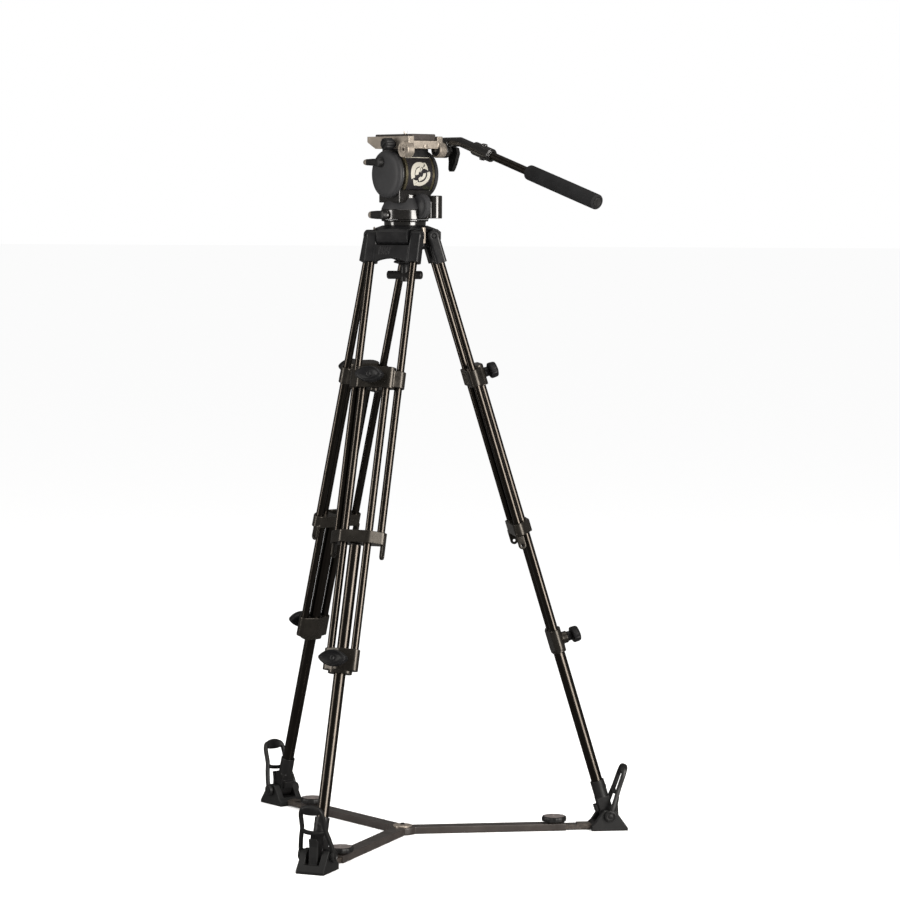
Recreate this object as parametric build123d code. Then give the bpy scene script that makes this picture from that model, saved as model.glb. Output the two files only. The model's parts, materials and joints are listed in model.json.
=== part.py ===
from build123d import *
import math
import os

os.makedirs("parts", exist_ok=True)

# ---------------------------------------------------------------- driving sizes
# Lengths in millimetres, angles in degrees.  The tripod axis is +Z, the floor is
# z = 0 and the lens points along -Y.  Each leg has its own frame: X outward,
# Y across the leg, and depth measured down the leg from its hinge pin.

RUNNING = 0.05            # radial gap of a turning or sliding round fit
GAP = 0.35                # gap between pieces that move past each other

LEG_AZIMUTHS = (-90.0, 30.0, 150.0)
LEG_TILT = 16.909
LEG_LENGTH = 1108.1
PIVOT_RADIUS = 45.0
SECTION_OFFSET = 10.9
ANKLE_HEIGHT = 28.0

UPPER_TUBE_RADIUS = 7.0
UPPER_TUBE_SPREAD = 41.0
MIDDLE_TUBE_RADIUS = 7.0
MIDDLE_TUBE_SPREAD = 22.5
LOWER_TUBE_RADIUS = 10.5
TUBE_WALL = 1.4

MIDDLE_CLAMP_DEPTH = 264.7
BRACKET_DEPTH = 551.4
LOWER_CLAMP_DEPTH = 771.8
LOWER_TUBE_CLEAR = 4.0
ANKLE_SLEEVE = 65.0

YOKE_END = 50.0
POST_DEPTH = 21.0
POST_INNER_CLEAR = 3.5
POST_OUTER_WALL = 5.0
POST_CORNER = 5.0
WEB_TOP = 19.5
WEB_THICKNESS = 8.0
WEB_SET_BACK = 1.0
WEB_ARCH_RADIUS = 72.0
WEB_ARCH_RISE = 7.0
WEB_RIBS = 5
WEB_RIB_PITCH = 4.5
WEB_RIB_WIDTH = 1.6
WEB_RIB_HEIGHT = 1.2
WEB_RIB_START = -22.0
PIN_RADIUS = 4.0
PIN_RECESS = 1.5
SOCKET_ROOF = 4.0
BRACKET_FLOOR = 4.0

MIDDLE_CLAMP_HEIGHT = 38.0
BRACKET_HEIGHT = 22.0
LOWER_CLAMP_HEIGHT = 44.0
TUBE_COLLAR = 3.8
EAR_DROP = 25.0
EAR_RADIUS = 7.0
EAR_THICKNESS = 5.0
EAR_OUT = 5.0
EAR_BACK = 11.0
EAR_EYE_RADIUS = 2.6
BRACKET_BULGE = 2.4
BRACKET_BORE_CLEAR = 0.5

CLAMP_PAD_RADIUS = 11.0
CLAMP_CHIN_RADIUS = 8.0
CLAMP_CHIN_DROP = 5.0
CLAMP_RIBS = 7
CLAMP_RIB_PITCH = 9.0
CLAMP_RIB_WIDTH = 2.4
CLAMP_RIB_HEIGHT = 1.6
MIDDLE_TUBE_INSET = 8.0
LOWER_PAD_HEIGHT = 8.0

KNOB_WIDTH = 56.0
KNOB_HEIGHT = 29.0
KNOB_DEPTH = 14.0
KNOB_NECK = 8.0
KNOB_NECK_RADIUS = 9.0
KNOB_TIP_TRIM = 2.0
KNOB_DISH_RADIUS = 29.0
KNOB_DISH_DEPTH = 3.0
KNOB_STUD = 4.0
STUD_DEPTH = 9.0
LOWER_STUD_DEPTH = 8.0

ANKLE_WALL = 2.4
ANKLE_SLEEVE_LENGTH = 37.0
ANKLE_SOCKET = 27.0
ANKLE_TOE_RADIUS = 12.0
ANKLE_HALF_WIDTH = 13.0
ANKLE_HEEL_REACH = 7.0
ANKLE_HEEL_LOW = 10.0
ANKLE_HEEL_HIGH = 23.0
ANKLE_HEEL_HALF = 9.0
RIVET_RADIUS = 2.5
RIVET_DROP = 14.0

CROWN_CORE_RADIUS = 44.5
CROWN_CAP_RADIUS = 56.0
CROWN_CAP_HEIGHT = 7.0
CROWN_CAP_CLEAR = 0.8
CROWN_NOSE_CLEAR = 0.8
CROWN_FIN_HALF = 2.0
CROWN_FIN_START = 40.0
BOWL_RIM = 2.5
BOWL_THROAT_RADIUS = 15.0
BALL_RADIUS = 37.5
BALL_LIFT = 23.0
BALL_SINK = 30.0
SEAT_DROP = 62.0
CLAMP_DROP = 67.5
CLAMP_ROD = 5.0
CLAMP_ROD_REACH = 30.0
T_BAR_LENGTH = 65.0
T_BAR_SIZE = 15.0
T_BAR_DROP = 26.0
T_BAR_TURN = 38.2
DISH_RADIUS = 20.0
T_STEM_RADIUS = 7.5
T_STEM_LENGTH = 38.0

TILT_LIFT = 110.0
DRUM_RADIUS = 40.0
DRUM_HALF = 32.4
DRUM_FLAT = 4.0
DRUM_NECK_HALF = 30.0
CHEEK = 3.2
COVER_RIM = 3.0
COVER_DEPTH = 11.0
COVER_ROUND = 7.0
AXLE_RADIUS = 8.0
HOUSING_LIFT = 6.0
HOUSING_RADIUS = 43.0
HOUSING_NECK = 33.0
HOUSING_WALL_HEIGHT = 17.0
HOUSING_CONE_HEIGHT = 38.0
HOUSING_HEIGHT = 44.0
SADDLE_HALF = 30.0
SADDLE_START = 30.0
SADDLE_DROP = 12.0
SPINDLE_RADIUS = 12.0
SPINDLE_LENGTH = 20.0
DIAL_RADIUS = 22.5
DIAL_WIDTH = 12.0
DIAL_BACK = 45.0
DIAL_LIFT = 30.0
DIAL_CLEAR = 0.8
DIAL_STUD_DEPTH = 9.0
BUBBLE_RADIUS = 14.0
BUBBLE_WALL = 4.0
BUBBLE_SIDE = 30.0
BUBBLE_CLEAR = 4.0
BUBBLE_TOP = 42.0
BUBBLE_WELL_DEPTH = 4.0
PAN_LEVER_LIFT = 14.0
PAN_LEVER_BOSS = 3.0
PAN_LEVER_BOSS_RADIUS = 7.5
PAN_LEVER_STUD_DEPTH = 10.0
PAN_LEVER_LENGTH = 44.0
TILT_LEVER_LIFT = 21.0
TILT_LEVER_BACK = -10.0
TILT_LEVER_STUD_DEPTH = 7.0
TILT_LEVER_LENGTH = 48.0
LEVER_BOSS_RADIUS = 8.0
LEVER_BOSS_HEIGHT = 9.0
LEVER_HALF_WIDTH = 5.0
LEVER_LOW = 2.0
LEVER_HIGH = 8.0

PLATFORM_WIDTH = 76.0
PLATFORM_FRONT = 63.0
PLATFORM_REAR = 60.0
PLATFORM_CLEAR = 5.0
PLATFORM_THICKNESS = 22.0
PLATFORM_BEVEL_LENGTH = 24.0
PLATFORM_BEVEL_HEIGHT = 12.5
CHANNEL_DEPTH = 8.0
PLATE_WIDTH = 51.4
PLATE_LENGTH = 110.0
PLATE_THICKNESS = 11.7
SCREW_RADIUS = 3.175
SCREW_REACH = 6.0
SCREW_NECK = 2.6
SCREW_NECK_RISE = 0.5
SCREW_HEAD_RADIUS = 8.0
SCREW_HEAD_TOP = 4.0
SCREW_HEAD_BASE = 0.6
PLATE_KNOB_RADIUS = 11.0
PLATE_KNOB_BACK = 17.0
PLATE_KNOB_LIFT = 8.0
PLATE_KNOB_START = 6.0
PLATE_KNOB_LENGTH = 18.0
PLATE_KNOB_NECK = 7.0
PLATE_KNOB_STUD_DEPTH = 8.5
ROSETTE_RADIUS = 14.0
ROSETTE_BACK = 52.0
ROSETTE_DROP = 2.0
ROSETTE_OUT = 6.0
ROSETTE_IN = 9.0
SPARE_BOLT_RADIUS = 2.5

HANDLE_OUT = 17.0
HANDLE_RADIUS = 8.5
HANDLE_RISE = 12.4
HANDLE_PLATE = 8.0
HANDLE_RISER_HALF = 11.0
HANDLE_SLOPE = 15.9
HANDLE_BEND = 90.0
HANDLE_OUTER = 95.0
HANDLE_INNER_RADIUS = 7.1
HANDLE_INNER_WALL = 1.2
HANDLE_INNER_INSERT = 25.0
HANDLE_BORE_START = 8.0
HANDLE_COLLAR = 12.0
HANDLE_COLLAR_START = 44.0
HANDLE_COLLAR_SHORT = 3.0
COLLAR_BOLT_AT = 68.0
COLLAR_BOLT_RADIUS = 5.0
COLLAR_BOLT_HALF = 14.5
LEVER_HUB_RADIUS = 5.4
LEVER_HUB_LENGTH = 17.0
LEVER_STUD_DEPTH = 22.0
LEVER_WING_OUT = 14.2
LEVER_WING_HALF = 3.6
GRIP_START = 200.0
GRIP_END = 390.0
GRIP_RADIUS = 13.6
GRIP_ROUND = 4.0
GRIP_END_WALL = 4.0

BOOT_INNER = 31.8
BOOT_OUTER = 35.2
BOOT_SLOT_CLEAR = 1.0
BOOT_WALL = 12.0
BOOT_FLOOR = 15.0
BOOT_TOP = 38.0
LATCH_PIN = 5.0
LATCH_PIN_OUT = 1.2
LATCH_LENGTH = 97.0
LATCH_LEAN = 19.0
LATCH_THICKNESS = 7.0
LATCH_SIDE_GAP = 0.6
LATCH_SIDE_WALL = 6.0
LATCH_EYE_WALL = 3.5
LATCH_GRIP_RADIUS = 5.5
LATCH_GRIP_HALF = 16.0
LATCH_GRIP_DROP = 9.0
LATCH_WINDOW_HALF = 14.5
HOOK_OUT = 13.4
HOOK_TOP = 60.0
HOOK_HALF_WIDTH = 8.0

HUB_RADIUS = 25.0
SLEEVE_WIDTH = 27.0
SLEEVE_HEIGHT = 13.0
BAR_WIDTH = 20.0
BAR_HEIGHT = 8.0
BAR_LIFT = 2.5
BAR_OVERLAP = 150.0
BAR_TRAVEL = 70.0
BAR_SEAT = 20.0
SLEEVE_SHORT = 78.0
KEEPER_INNER = 56.0
KEEPER_OUTER = 33.0
KEEPER_HALF = 7.0
KEEPER_HEIGHT = 2.4
ARM_BOSS_RADIUS = 11.0
ARM_BOSS_RISE = 3.0
ARM_KNOB_RADIUS = 23.0
ARM_KNOB_HEIGHT = 9.5
ARM_KNOB_BACK = 98.0
ARM_KNOB_NOTCHES = 12
ARM_KNOB_NOTCH_RADIUS = 3.0
ARM_KNOB_NOTCH_OUT = 1.4
HUB_CAP_RADIUS = 16.0

# ---------------------------------------------------------------- derived sizes
TILT_SIN = math.sin(math.radians(LEG_TILT))
TILT_COS = math.cos(math.radians(LEG_TILT))
PIVOT_HEIGHT = ANKLE_HEIGHT + LEG_LENGTH * TILT_COS - SECTION_OFFSET * TILT_SIN
FOOT_RADIUS = PIVOT_RADIUS + SECTION_OFFSET * TILT_COS + LEG_LENGTH * TILT_SIN
LOWER_TUBE_TOP = BRACKET_DEPTH + BRACKET_HEIGHT / 2 + LOWER_TUBE_CLEAR
BALL_HEIGHT = PIVOT_HEIGHT + BALL_LIFT
TILT_HEIGHT = PIVOT_HEIGHT + TILT_LIFT
CAP_BASE = PIVOT_HEIGHT + POST_DEPTH / 2 + CROWN_CAP_CLEAR
POST_INNER = UPPER_TUBE_SPREAD - UPPER_TUBE_RADIUS - POST_INNER_CLEAR
POST_OUTER = UPPER_TUBE_SPREAD + UPPER_TUBE_RADIUS + POST_OUTER_WALL
HOUSING_BASE = BALL_HEIGHT + HOUSING_LIFT
COVER_RADIUS = DRUM_RADIUS + COVER_RIM
BUBBLE_BACK = COVER_RADIUS + BUBBLE_CLEAR
PLATFORM_BASE = TILT_HEIGHT + DRUM_RADIUS + PLATFORM_CLEAR
PLATE_BASE = PLATFORM_BASE + PLATFORM_THICKNESS - CHANNEL_DEPTH + GAP
ROSETTE_HEIGHT = PLATFORM_BASE - ROSETTE_DROP
HANDLE_HEIGHT = PLATFORM_BASE + HANDLE_RISE
HANDLE_SIDE = PLATFORM_WIDTH / 2 + HANDLE_OUT
HANDLE_FACE = PLATFORM_WIDTH / 2 + ROSETTE_OUT + GAP
BOOT_SLOT = ANKLE_HALF_WIDTH + BOOT_SLOT_CLEAR
BOOT_HALF_WIDTH = BOOT_SLOT + BOOT_WALL
LATCH_FOOT = BOOT_HALF_WIDTH + LATCH_SIDE_GAP
PLATFORM_TOP = PLATFORM_BASE + PLATFORM_THICKNESS
COVER_BACK = DRUM_HALF + GAP + CHEEK
COVER_FACE = COVER_BACK + COVER_DEPTH
SLEEVE_END = FOOT_RADIUS - SLEEVE_SHORT
BAR_START = SLEEVE_END - BAR_OVERLAP
ARM_KNOB_AT = FOOT_RADIUS - ARM_KNOB_BACK


# ---------------------------------------------------------------- small helpers
def block(x0, x1, y0, y1, z0, z1):
    """Box between two opposite corners."""
    return Pos((x0 + x1) / 2, (y0 + y1) / 2, (z0 + z1) / 2) * Box(x1 - x0, y1 - y0, z1 - z0)


def rod_x(radius, start, end, y=0.0, z=0.0):
    """Round bar along X."""
    return Pos((start + end) / 2, y, z) * Rot(0, 90, 0) * Cylinder(radius, end - start)


def rod_y(radius, start, end, x=0.0, z=0.0):
    """Round bar along Y."""
    return Pos(x, (start + end) / 2, z) * Rot(90, 0, 0) * Cylinder(radius, end - start)


def rod_z(radius, start, end, x=0.0, y=0.0):
    """Round bar along Z."""
    return Pos(x, y, (start + end) / 2) * Cylinder(radius, end - start)


def drilled(solid, *holes):
    """Take every hole out of a solid."""
    for hole in holes:
        solid = solid - hole
    return solid


def round_hull(circles, low, high):
    """Prism round a set of circles given as (x, y, radius)."""
    outline = Sketch() + [Pos(x, y) * Circle(radius) for x, y, radius in circles]
    face = make_hull(outline.edges())
    return Pos(0, 0, low) * extrude(face, amount=high - low)


def turned(points):
    """Solid of revolution about Z from (radius, height) corners."""
    outline = Plane.XZ * Polyline(*points, close=True)
    return revolve(make_face(outline), axis=Axis.Z)


def profile_y(points, half_width):
    """Prism across Y from (x, z) corners, centred on y = 0."""
    outline = Plane.XZ * Polyline(*points, close=True)
    return extrude(make_face(outline), amount=half_width, both=True)


def in_leg(shape, azimuth):
    """Move a shape from the leg frame to its place in the tripod."""
    hinge = Pos(PIVOT_RADIUS, 0, PIVOT_HEIGHT) * Rot(0, -LEG_TILT, 0)
    return Rot(0, 0, azimuth) * hinge * shape


def around(shape, azimuth):
    """Turn a shape about the tripod axis to one leg."""
    return Rot(0, 0, azimuth) * shape


def save(shape, name):
    """Write one node."""
    shape.label = name
    export_step(shape, f"parts/{name}.step")


# ---------------------------------------------------------------- leg, top part
def tube(radius, top, bottom, x, y):
    """Hollow round tube running down the leg."""
    outside = rod_z(radius, -bottom, -top, x, y)
    return outside - rod_z(radius - TUBE_WALL, -bottom, -top, x, y)


def yoke_post(side):
    """One post of the leg casting with the round head on the hinge pin."""
    low, high = sorted((side * POST_INNER, side * POST_OUTER))
    head = rod_y(POST_DEPTH / 2, low, high)
    head = chamfer(head.edges().filter_by(GeomType.CIRCLE), 2.0)
    column = Pos(0, (low + high) / 2, -YOKE_END) * extrude(
        RectangleRounded(POST_DEPTH, high - low, POST_CORNER), amount=YOKE_END)
    return head + column


def yoke_web():
    """Cross web between the posts, arched below and ribbed outside."""
    reach = POST_INNER + 2.0
    face = WEB_SET_BACK + WEB_THICKNESS
    web = block(WEB_SET_BACK, face, -reach, reach, -YOKE_END, -WEB_TOP)
    web = web - rod_x(WEB_ARCH_RADIUS, 0.0, face + 1.0, 0.0, -YOKE_END - WEB_ARCH_RADIUS + WEB_ARCH_RISE)
    for rib in range(WEB_RIBS):
        across = WEB_RIB_START + rib * WEB_RIB_PITCH
        half = WEB_RIB_WIDTH / 2
        web = web + block(face - 1.0, face + WEB_RIB_HEIGHT, across - half, across + half,
                          -YOKE_END + 2 * WEB_ARCH_RISE, -WEB_TOP - 4.0)
    return web


def leg_yoke():
    """Casting that hangs the two upper tubes on the hinge pin."""
    yoke = yoke_post(1) + yoke_post(-1) + yoke_web()
    pin_hole = rod_y(PIN_RADIUS + RUNNING, -POST_OUTER - 1.0, POST_OUTER + 1.0)
    sockets = [socket(side) for side in (-1, 1)]
    return drilled(yoke, pin_hole, *sockets)


def socket(side):
    """Blind hole in the yoke for one upper tube."""
    top = POST_DEPTH / 2 + SOCKET_ROOF
    return rod_z(UPPER_TUBE_RADIUS, -YOKE_END - 1.0, -top, 0.0, side * UPPER_TUBE_SPREAD)


def upper_tubes():
    """The two fixed upper tubes."""
    top = POST_DEPTH / 2 + SOCKET_ROOF
    bottom = BRACKET_DEPTH + BRACKET_HEIGHT / 2 - BRACKET_FLOOR
    pair = [tube(UPPER_TUBE_RADIUS, top, bottom, 0.0, side * UPPER_TUBE_SPREAD) for side in (-1, 1)]
    return Compound(pair)


def bracket_ear(side):
    """Eyelet hanging below one end of the bracket."""
    low = BRACKET_DEPTH + BRACKET_HEIGHT / 2
    middle = side * (UPPER_TUBE_SPREAD + EAR_OUT)
    half = EAR_THICKNESS / 2
    depth = low + EAR_DROP - EAR_RADIUS
    plate = block(-EAR_BACK, -EAR_BACK + 2 * EAR_RADIUS, middle - half, middle + half, -depth, -low + 4.0)
    nose = rod_y(EAR_RADIUS, middle - half, middle + half, -EAR_BACK + EAR_RADIUS, -depth)
    eye = rod_y(EAR_EYE_RADIUS, middle - half - 1.5, middle + half + 1.5, -EAR_BACK + EAR_RADIUS, -depth)
    return plate + nose - eye


def upper_bracket():
    """Lower end of the upper section, guiding the middle tubes."""
    low = BRACKET_DEPTH + BRACKET_HEIGHT / 2
    high = BRACKET_DEPTH - BRACKET_HEIGHT / 2
    collar = UPPER_TUBE_RADIUS + TUBE_COLLAR
    circles = [(0.0, side * UPPER_TUBE_SPREAD, collar) for side in (-1, 1)]
    circles += [(SECTION_OFFSET, side * MIDDLE_TUBE_SPREAD, collar + BRACKET_BULGE) for side in (-1, 1)]
    body = round_hull(circles, -low, -high)
    body = body + bracket_ear(1) + bracket_ear(-1)
    centre = rod_z(LOWER_TUBE_RADIUS + BRACKET_BORE_CLEAR, -low - 1, -high + 1, SECTION_OFFSET, 0.0)
    holes = [centre]
    for side in (-1, 1):
        holes.append(rod_z(UPPER_TUBE_RADIUS, -low + BRACKET_FLOOR, -high + 1, 0.0, side * UPPER_TUBE_SPREAD))
        holes.append(rod_z(MIDDLE_TUBE_RADIUS + RUNNING, -low - 1, -high + 1,
                           SECTION_OFFSET, side * MIDDLE_TUBE_SPREAD))
    return drilled(body, *holes)


# ---------------------------------------------------------------- leg, middle part
def clamp_face():
    """Outward distance of the flat face the clamp knobs bear on."""
    return SECTION_OFFSET + LOWER_TUBE_RADIUS + TUBE_COLLAR


def lower_clamp_face():
    """Outward distance of the knob pad on the lower clamp."""
    return clamp_face() + LOWER_PAD_HEIGHT


def lower_stud_end():
    """Outward distance of the blind end of the stud hole in the lower clamp."""
    return clamp_face() - TUBE_COLLAR + 0.6


def middle_clamp():
    """Clamp that carries the middle tubes and slides on the upper tubes."""
    half = MIDDLE_CLAMP_HEIGHT / 2
    depth = MIDDLE_CLAMP_DEPTH
    collar = UPPER_TUBE_RADIUS + TUBE_COLLAR
    ends = [(0.0, side * UPPER_TUBE_SPREAD, collar) for side in (-1, 1)]
    caps = [(SECTION_OFFSET, side * MIDDLE_TUBE_SPREAD, collar) for side in (-1, 1)]
    raised = [(SECTION_OFFSET + 0.8, side * (MIDDLE_TUBE_SPREAD + 4.0), collar) for side in (-1, 1)]
    body = round_hull(ends + caps, -depth - half + 3.0, -depth + half - 5.0)
    body = body + round_hull(raised, -depth - half, -depth + half)
    body = body + rod_x(CLAMP_PAD_RADIUS, SECTION_OFFSET, clamp_face(), 0.0, -depth)
    body = body + rod_z(CLAMP_CHIN_RADIUS, -depth - half - CLAMP_CHIN_DROP, -depth, SECTION_OFFSET, 0.0)
    for rib in range(CLAMP_RIBS):
        across = (rib - (CLAMP_RIBS - 1) / 2) * CLAMP_RIB_PITCH
        body = body + block(-collar - CLAMP_RIB_HEIGHT, 0.0, across - CLAMP_RIB_WIDTH / 2,
                            across + CLAMP_RIB_WIDTH / 2, -depth - half + 5.0, -depth + half - 7.0)
    holes = [rod_x(KNOB_STUD + RUNNING, clamp_face() - STUD_DEPTH - 1.0, clamp_face() + 1.0, 0.0, -depth)]
    for side in (-1, 1):
        holes.append(rod_z(UPPER_TUBE_RADIUS + RUNNING, -depth - half - 1, -depth + half + 1,
                           0.0, side * UPPER_TUBE_SPREAD))
        holes.append(rod_z(MIDDLE_TUBE_RADIUS, -depth - half - 1, -depth + half - MIDDLE_TUBE_INSET,
                           SECTION_OFFSET, side * MIDDLE_TUBE_SPREAD))
    return drilled(body, *holes)


def middle_tubes():
    """The two sliding middle tubes."""
    top = MIDDLE_CLAMP_DEPTH - MIDDLE_CLAMP_HEIGHT / 2 + MIDDLE_TUBE_INSET
    bottom = LOWER_CLAMP_DEPTH + LOWER_CLAMP_HEIGHT / 2 - MIDDLE_TUBE_INSET
    pair = [tube(MIDDLE_TUBE_RADIUS, top, bottom, SECTION_OFFSET, side * MIDDLE_TUBE_SPREAD)
            for side in (-1, 1)]
    return Compound(pair)


def lower_clamp():
    """Clamp at the foot of the middle tubes that grips the lower tube."""
    half = LOWER_CLAMP_HEIGHT / 2
    depth = LOWER_CLAMP_DEPTH
    collar = MIDDLE_TUBE_RADIUS + TUBE_COLLAR - 0.8
    sleeve = LOWER_TUBE_RADIUS + TUBE_COLLAR
    sides = [(SECTION_OFFSET, side * MIDDLE_TUBE_SPREAD, collar) for side in (-1, 1)]
    body = round_hull(sides + [(SECTION_OFFSET, 0.0, sleeve)], -depth - half + 6.0, -depth + half)
    chin = [(SECTION_OFFSET, side * 9.0, sleeve - 1.5) for side in (-1, 1)]
    body = body + round_hull(chin, -depth - half, -depth)
    holes = [rod_z(LOWER_TUBE_RADIUS + RUNNING, -depth - half - 1, -depth + half + 1, SECTION_OFFSET, 0.0)]
    holes.append(rod_x(KNOB_STUD + RUNNING, lower_stud_end(), lower_clamp_face() + 1.0, 0.0, -depth))
    for side in (-1, 1):
        holes.append(rod_z(MIDDLE_TUBE_RADIUS, -depth - half + MIDDLE_TUBE_INSET, -depth + half + 1,
                           SECTION_OFFSET, side * MIDDLE_TUBE_SPREAD))
    pad = rod_x(CLAMP_PAD_RADIUS, clamp_face() - TUBE_COLLAR + 1.0, lower_clamp_face(), 0.0, -depth)
    return drilled(body + pad, *holes)


def wing_knob(face, depth, reach):
    """Eye-shaped clamp knob on a stud that enters the clamp."""
    arc_radius = (KNOB_WIDTH ** 2 / 4 + KNOB_HEIGHT ** 2 / 4) / KNOB_HEIGHT
    shift = arc_radius - KNOB_HEIGHT / 2
    start = face + GAP + KNOB_NECK
    end = start + KNOB_DEPTH
    eye = rod_x(arc_radius, start, end, 0.0, shift) & rod_x(arc_radius, start, end, 0.0, -shift)
    eye = eye & rod_x(KNOB_WIDTH / 2 - KNOB_TIP_TRIM, start, end)
    eye = eye - Pos(end + KNOB_DISH_RADIUS - KNOB_DISH_DEPTH, 0, 0) * Sphere(KNOB_DISH_RADIUS)
    neck = rod_x(KNOB_NECK_RADIUS, face + GAP, start + 2.0)
    stud = rod_x(KNOB_STUD, face - reach, start)
    return Pos(0, 0, -depth) * (eye + neck + stud)


def middle_lock_knob():
    """Knob on the middle clamp."""
    return wing_knob(clamp_face(), MIDDLE_CLAMP_DEPTH, STUD_DEPTH)


def lower_lock_knob():
    """Knob on the lower clamp."""
    return wing_knob(lower_clamp_face(), LOWER_CLAMP_DEPTH, LOWER_STUD_DEPTH)


# ---------------------------------------------------------------- leg, lower part
def lower_tube():
    """Single sliding lower tube."""
    bottom = LEG_LENGTH - ANKLE_SLEEVE + ANKLE_SOCKET
    return tube(LOWER_TUBE_RADIUS, LOWER_TUBE_TOP, bottom, SECTION_OFFSET, 0.0)


def ankle():
    """Foot casting at the end of the lower tube."""
    top = LEG_LENGTH - ANKLE_SLEEVE
    sleeve = rod_z(LOWER_TUBE_RADIUS + ANKLE_WALL, -top - ANKLE_SLEEVE_LENGTH, -top, SECTION_OFFSET, 0.0)
    half = ANKLE_TOE_RADIUS
    wide = ANKLE_HALF_WIDTH
    toe = rod_y(half, -wide, wide, SECTION_OFFSET, -LEG_LENGTH)
    shank = block(SECTION_OFFSET - half, SECTION_OFFSET + half, -wide, wide,
                  -LEG_LENGTH, -top - ANKLE_SLEEVE_LENGTH + 6.0)
    heel = block(SECTION_OFFSET - half - ANKLE_HEEL_REACH, SECTION_OFFSET - half + 1.0,
                 -ANKLE_HEEL_HALF, ANKLE_HEEL_HALF,
                 -LEG_LENGTH + ANKLE_HEEL_LOW, -LEG_LENGTH + ANKLE_HEEL_HIGH)
    bore = rod_z(LOWER_TUBE_RADIUS, -top - ANKLE_SOCKET, -top + 1.0, SECTION_OFFSET, 0.0)
    skin = SECTION_OFFSET + LOWER_TUBE_RADIUS + ANKLE_WALL
    rivet = rod_x(RIVET_RADIUS, skin - 0.4, skin + 0.8, 0.0, -top - RIVET_DROP)
    return sleeve + toe + shank + heel + rivet - bore


# ---------------------------------------------------------------- feet
def boot_profile():
    """Side outline of a boot as (radius, height) corners."""
    inner = FOOT_RADIUS - BOOT_INNER
    outer = FOOT_RADIUS + BOOT_OUTER
    return [(inner, 0.0), (outer, 0.0), (outer, 5.0), (outer - 20.0, BOOT_TOP - 5.0),
            (outer - 25.0, BOOT_TOP), (inner + 22.0, BOOT_TOP), (inner + 6.0, 14.0), (inner, 9.0)]


def foot_boot():
    """Rubber boot with an open slot for the ankle and a hook in front."""
    boot = profile_y(boot_profile(), BOOT_HALF_WIDTH)
    reach = BOOT_INNER + BOOT_OUTER
    slot = block(FOOT_RADIUS - reach, FOOT_RADIUS + reach, -BOOT_SLOT, BOOT_SLOT, BOOT_FLOOR, BOOT_TOP + 2.0)
    hook_at = FOOT_RADIUS + HOOK_OUT
    hook = profile_y([(hook_at, 6.0), (hook_at + 9.0, 6.0), (hook_at + 6.5, HOOK_TOP - 14.0),
                      (hook_at + 9.0, HOOK_TOP), (hook_at + 1.0, HOOK_TOP - 6.0)], HOOK_HALF_WIDTH)
    boot = boot - slot + hook
    for side in (-1, 1):
        low, high = sorted((side * (BOOT_HALF_WIDTH - 2.0), side * (LATCH_FOOT + LATCH_SIDE_WALL + 0.4)))
        boot = boot + rod_y(LATCH_PIN, low, high, FOOT_RADIUS + LATCH_PIN_OUT, ANKLE_HEIGHT)
    entry = FOOT_RADIUS - BOOT_INNER
    bar = block(entry - 1.0, entry + BAR_SEAT, -BAR_WIDTH / 2, BAR_WIDTH / 2, BAR_LIFT, BAR_LIFT + BAR_HEIGHT)
    return boot - bar


def latch_half(side):
    """Corners of one side of the latch loop, going up the outside."""
    foot = LATCH_FOOT
    outer = foot + LATCH_SIDE_WALL
    corners = [(foot, 30.0), (foot, -7.0), (outer, -7.0), (outer, 14.0), (foot - 4.6, 50.0),
               (foot - 5.6, LATCH_LENGTH - 8.0), (foot - 12.6, LATCH_LENGTH)]
    return [(side * y, z) for y, z in corners]


def boot_latch():
    """Bail lever straddling the boot."""
    outline = latch_half(1) + list(reversed(latch_half(-1)))
    thick = LATCH_THICKNESS
    half = LATCH_WINDOW_HALF
    plate = extrude(make_face(Plane.YZ * Polyline(*outline, close=True)), amount=thick / 2, both=True)
    bottom = block(-thick, thick, -half, half, 29.0, 42.0)
    window = block(-thick, thick, -half, half, 48.0, LATCH_LENGTH - 2 * LATCH_GRIP_DROP)
    throat = block(-thick, thick, -LATCH_FOOT, LATCH_FOOT, -8.0, 30.5)
    grip = rod_y(LATCH_GRIP_RADIUS, -LATCH_GRIP_HALF, LATCH_GRIP_HALF, 0.0, LATCH_LENGTH - LATCH_GRIP_DROP)
    plate = plate - bottom - window - throat + grip
    for side in (-1, 1):
        low, high = sorted((side * LATCH_FOOT, side * (LATCH_FOOT + LATCH_SIDE_WALL)))
        plate = plate + rod_y(LATCH_PIN + LATCH_EYE_WALL, low, high)
    reach = LATCH_FOOT + LATCH_SIDE_WALL + 2.0
    plate = plate - rod_y(LATCH_PIN + RUNNING, -reach, reach)
    return Pos(FOOT_RADIUS + LATCH_PIN_OUT, 0, ANKLE_HEIGHT) * Rot(0, LATCH_LEAN, 0) * plate


# ---------------------------------------------------------------- floor spreader
def arm_sleeve(azimuth):
    """Flat hollow arm that the sliding bar runs in."""
    half = SLEEVE_WIDTH / 2
    sleeve = block(0.0, SLEEVE_END, -half, half, 0.0, SLEEVE_HEIGHT)
    boss = rod_z(ARM_BOSS_RADIUS, 1.0, SLEEVE_HEIGHT + ARM_BOSS_RISE, ARM_KNOB_AT, 0.0)
    return around(sleeve + boss, azimuth)


def arm_channel(azimuth):
    """Space inside an arm, with the stud hole of its knob."""
    half = BAR_WIDTH / 2 + GAP
    start = BAR_START - BAR_TRAVEL
    channel = block(start, SLEEVE_END + 1.0, -half, half, BAR_LIFT - GAP, BAR_LIFT + BAR_HEIGHT + GAP)
    top = SLEEVE_HEIGHT + ARM_BOSS_RISE + 1.0
    hole = rod_z(KNOB_STUD + RUNNING, BAR_LIFT + BAR_HEIGHT, top, ARM_KNOB_AT, 0.0)
    return around(channel + hole, azimuth)


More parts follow.
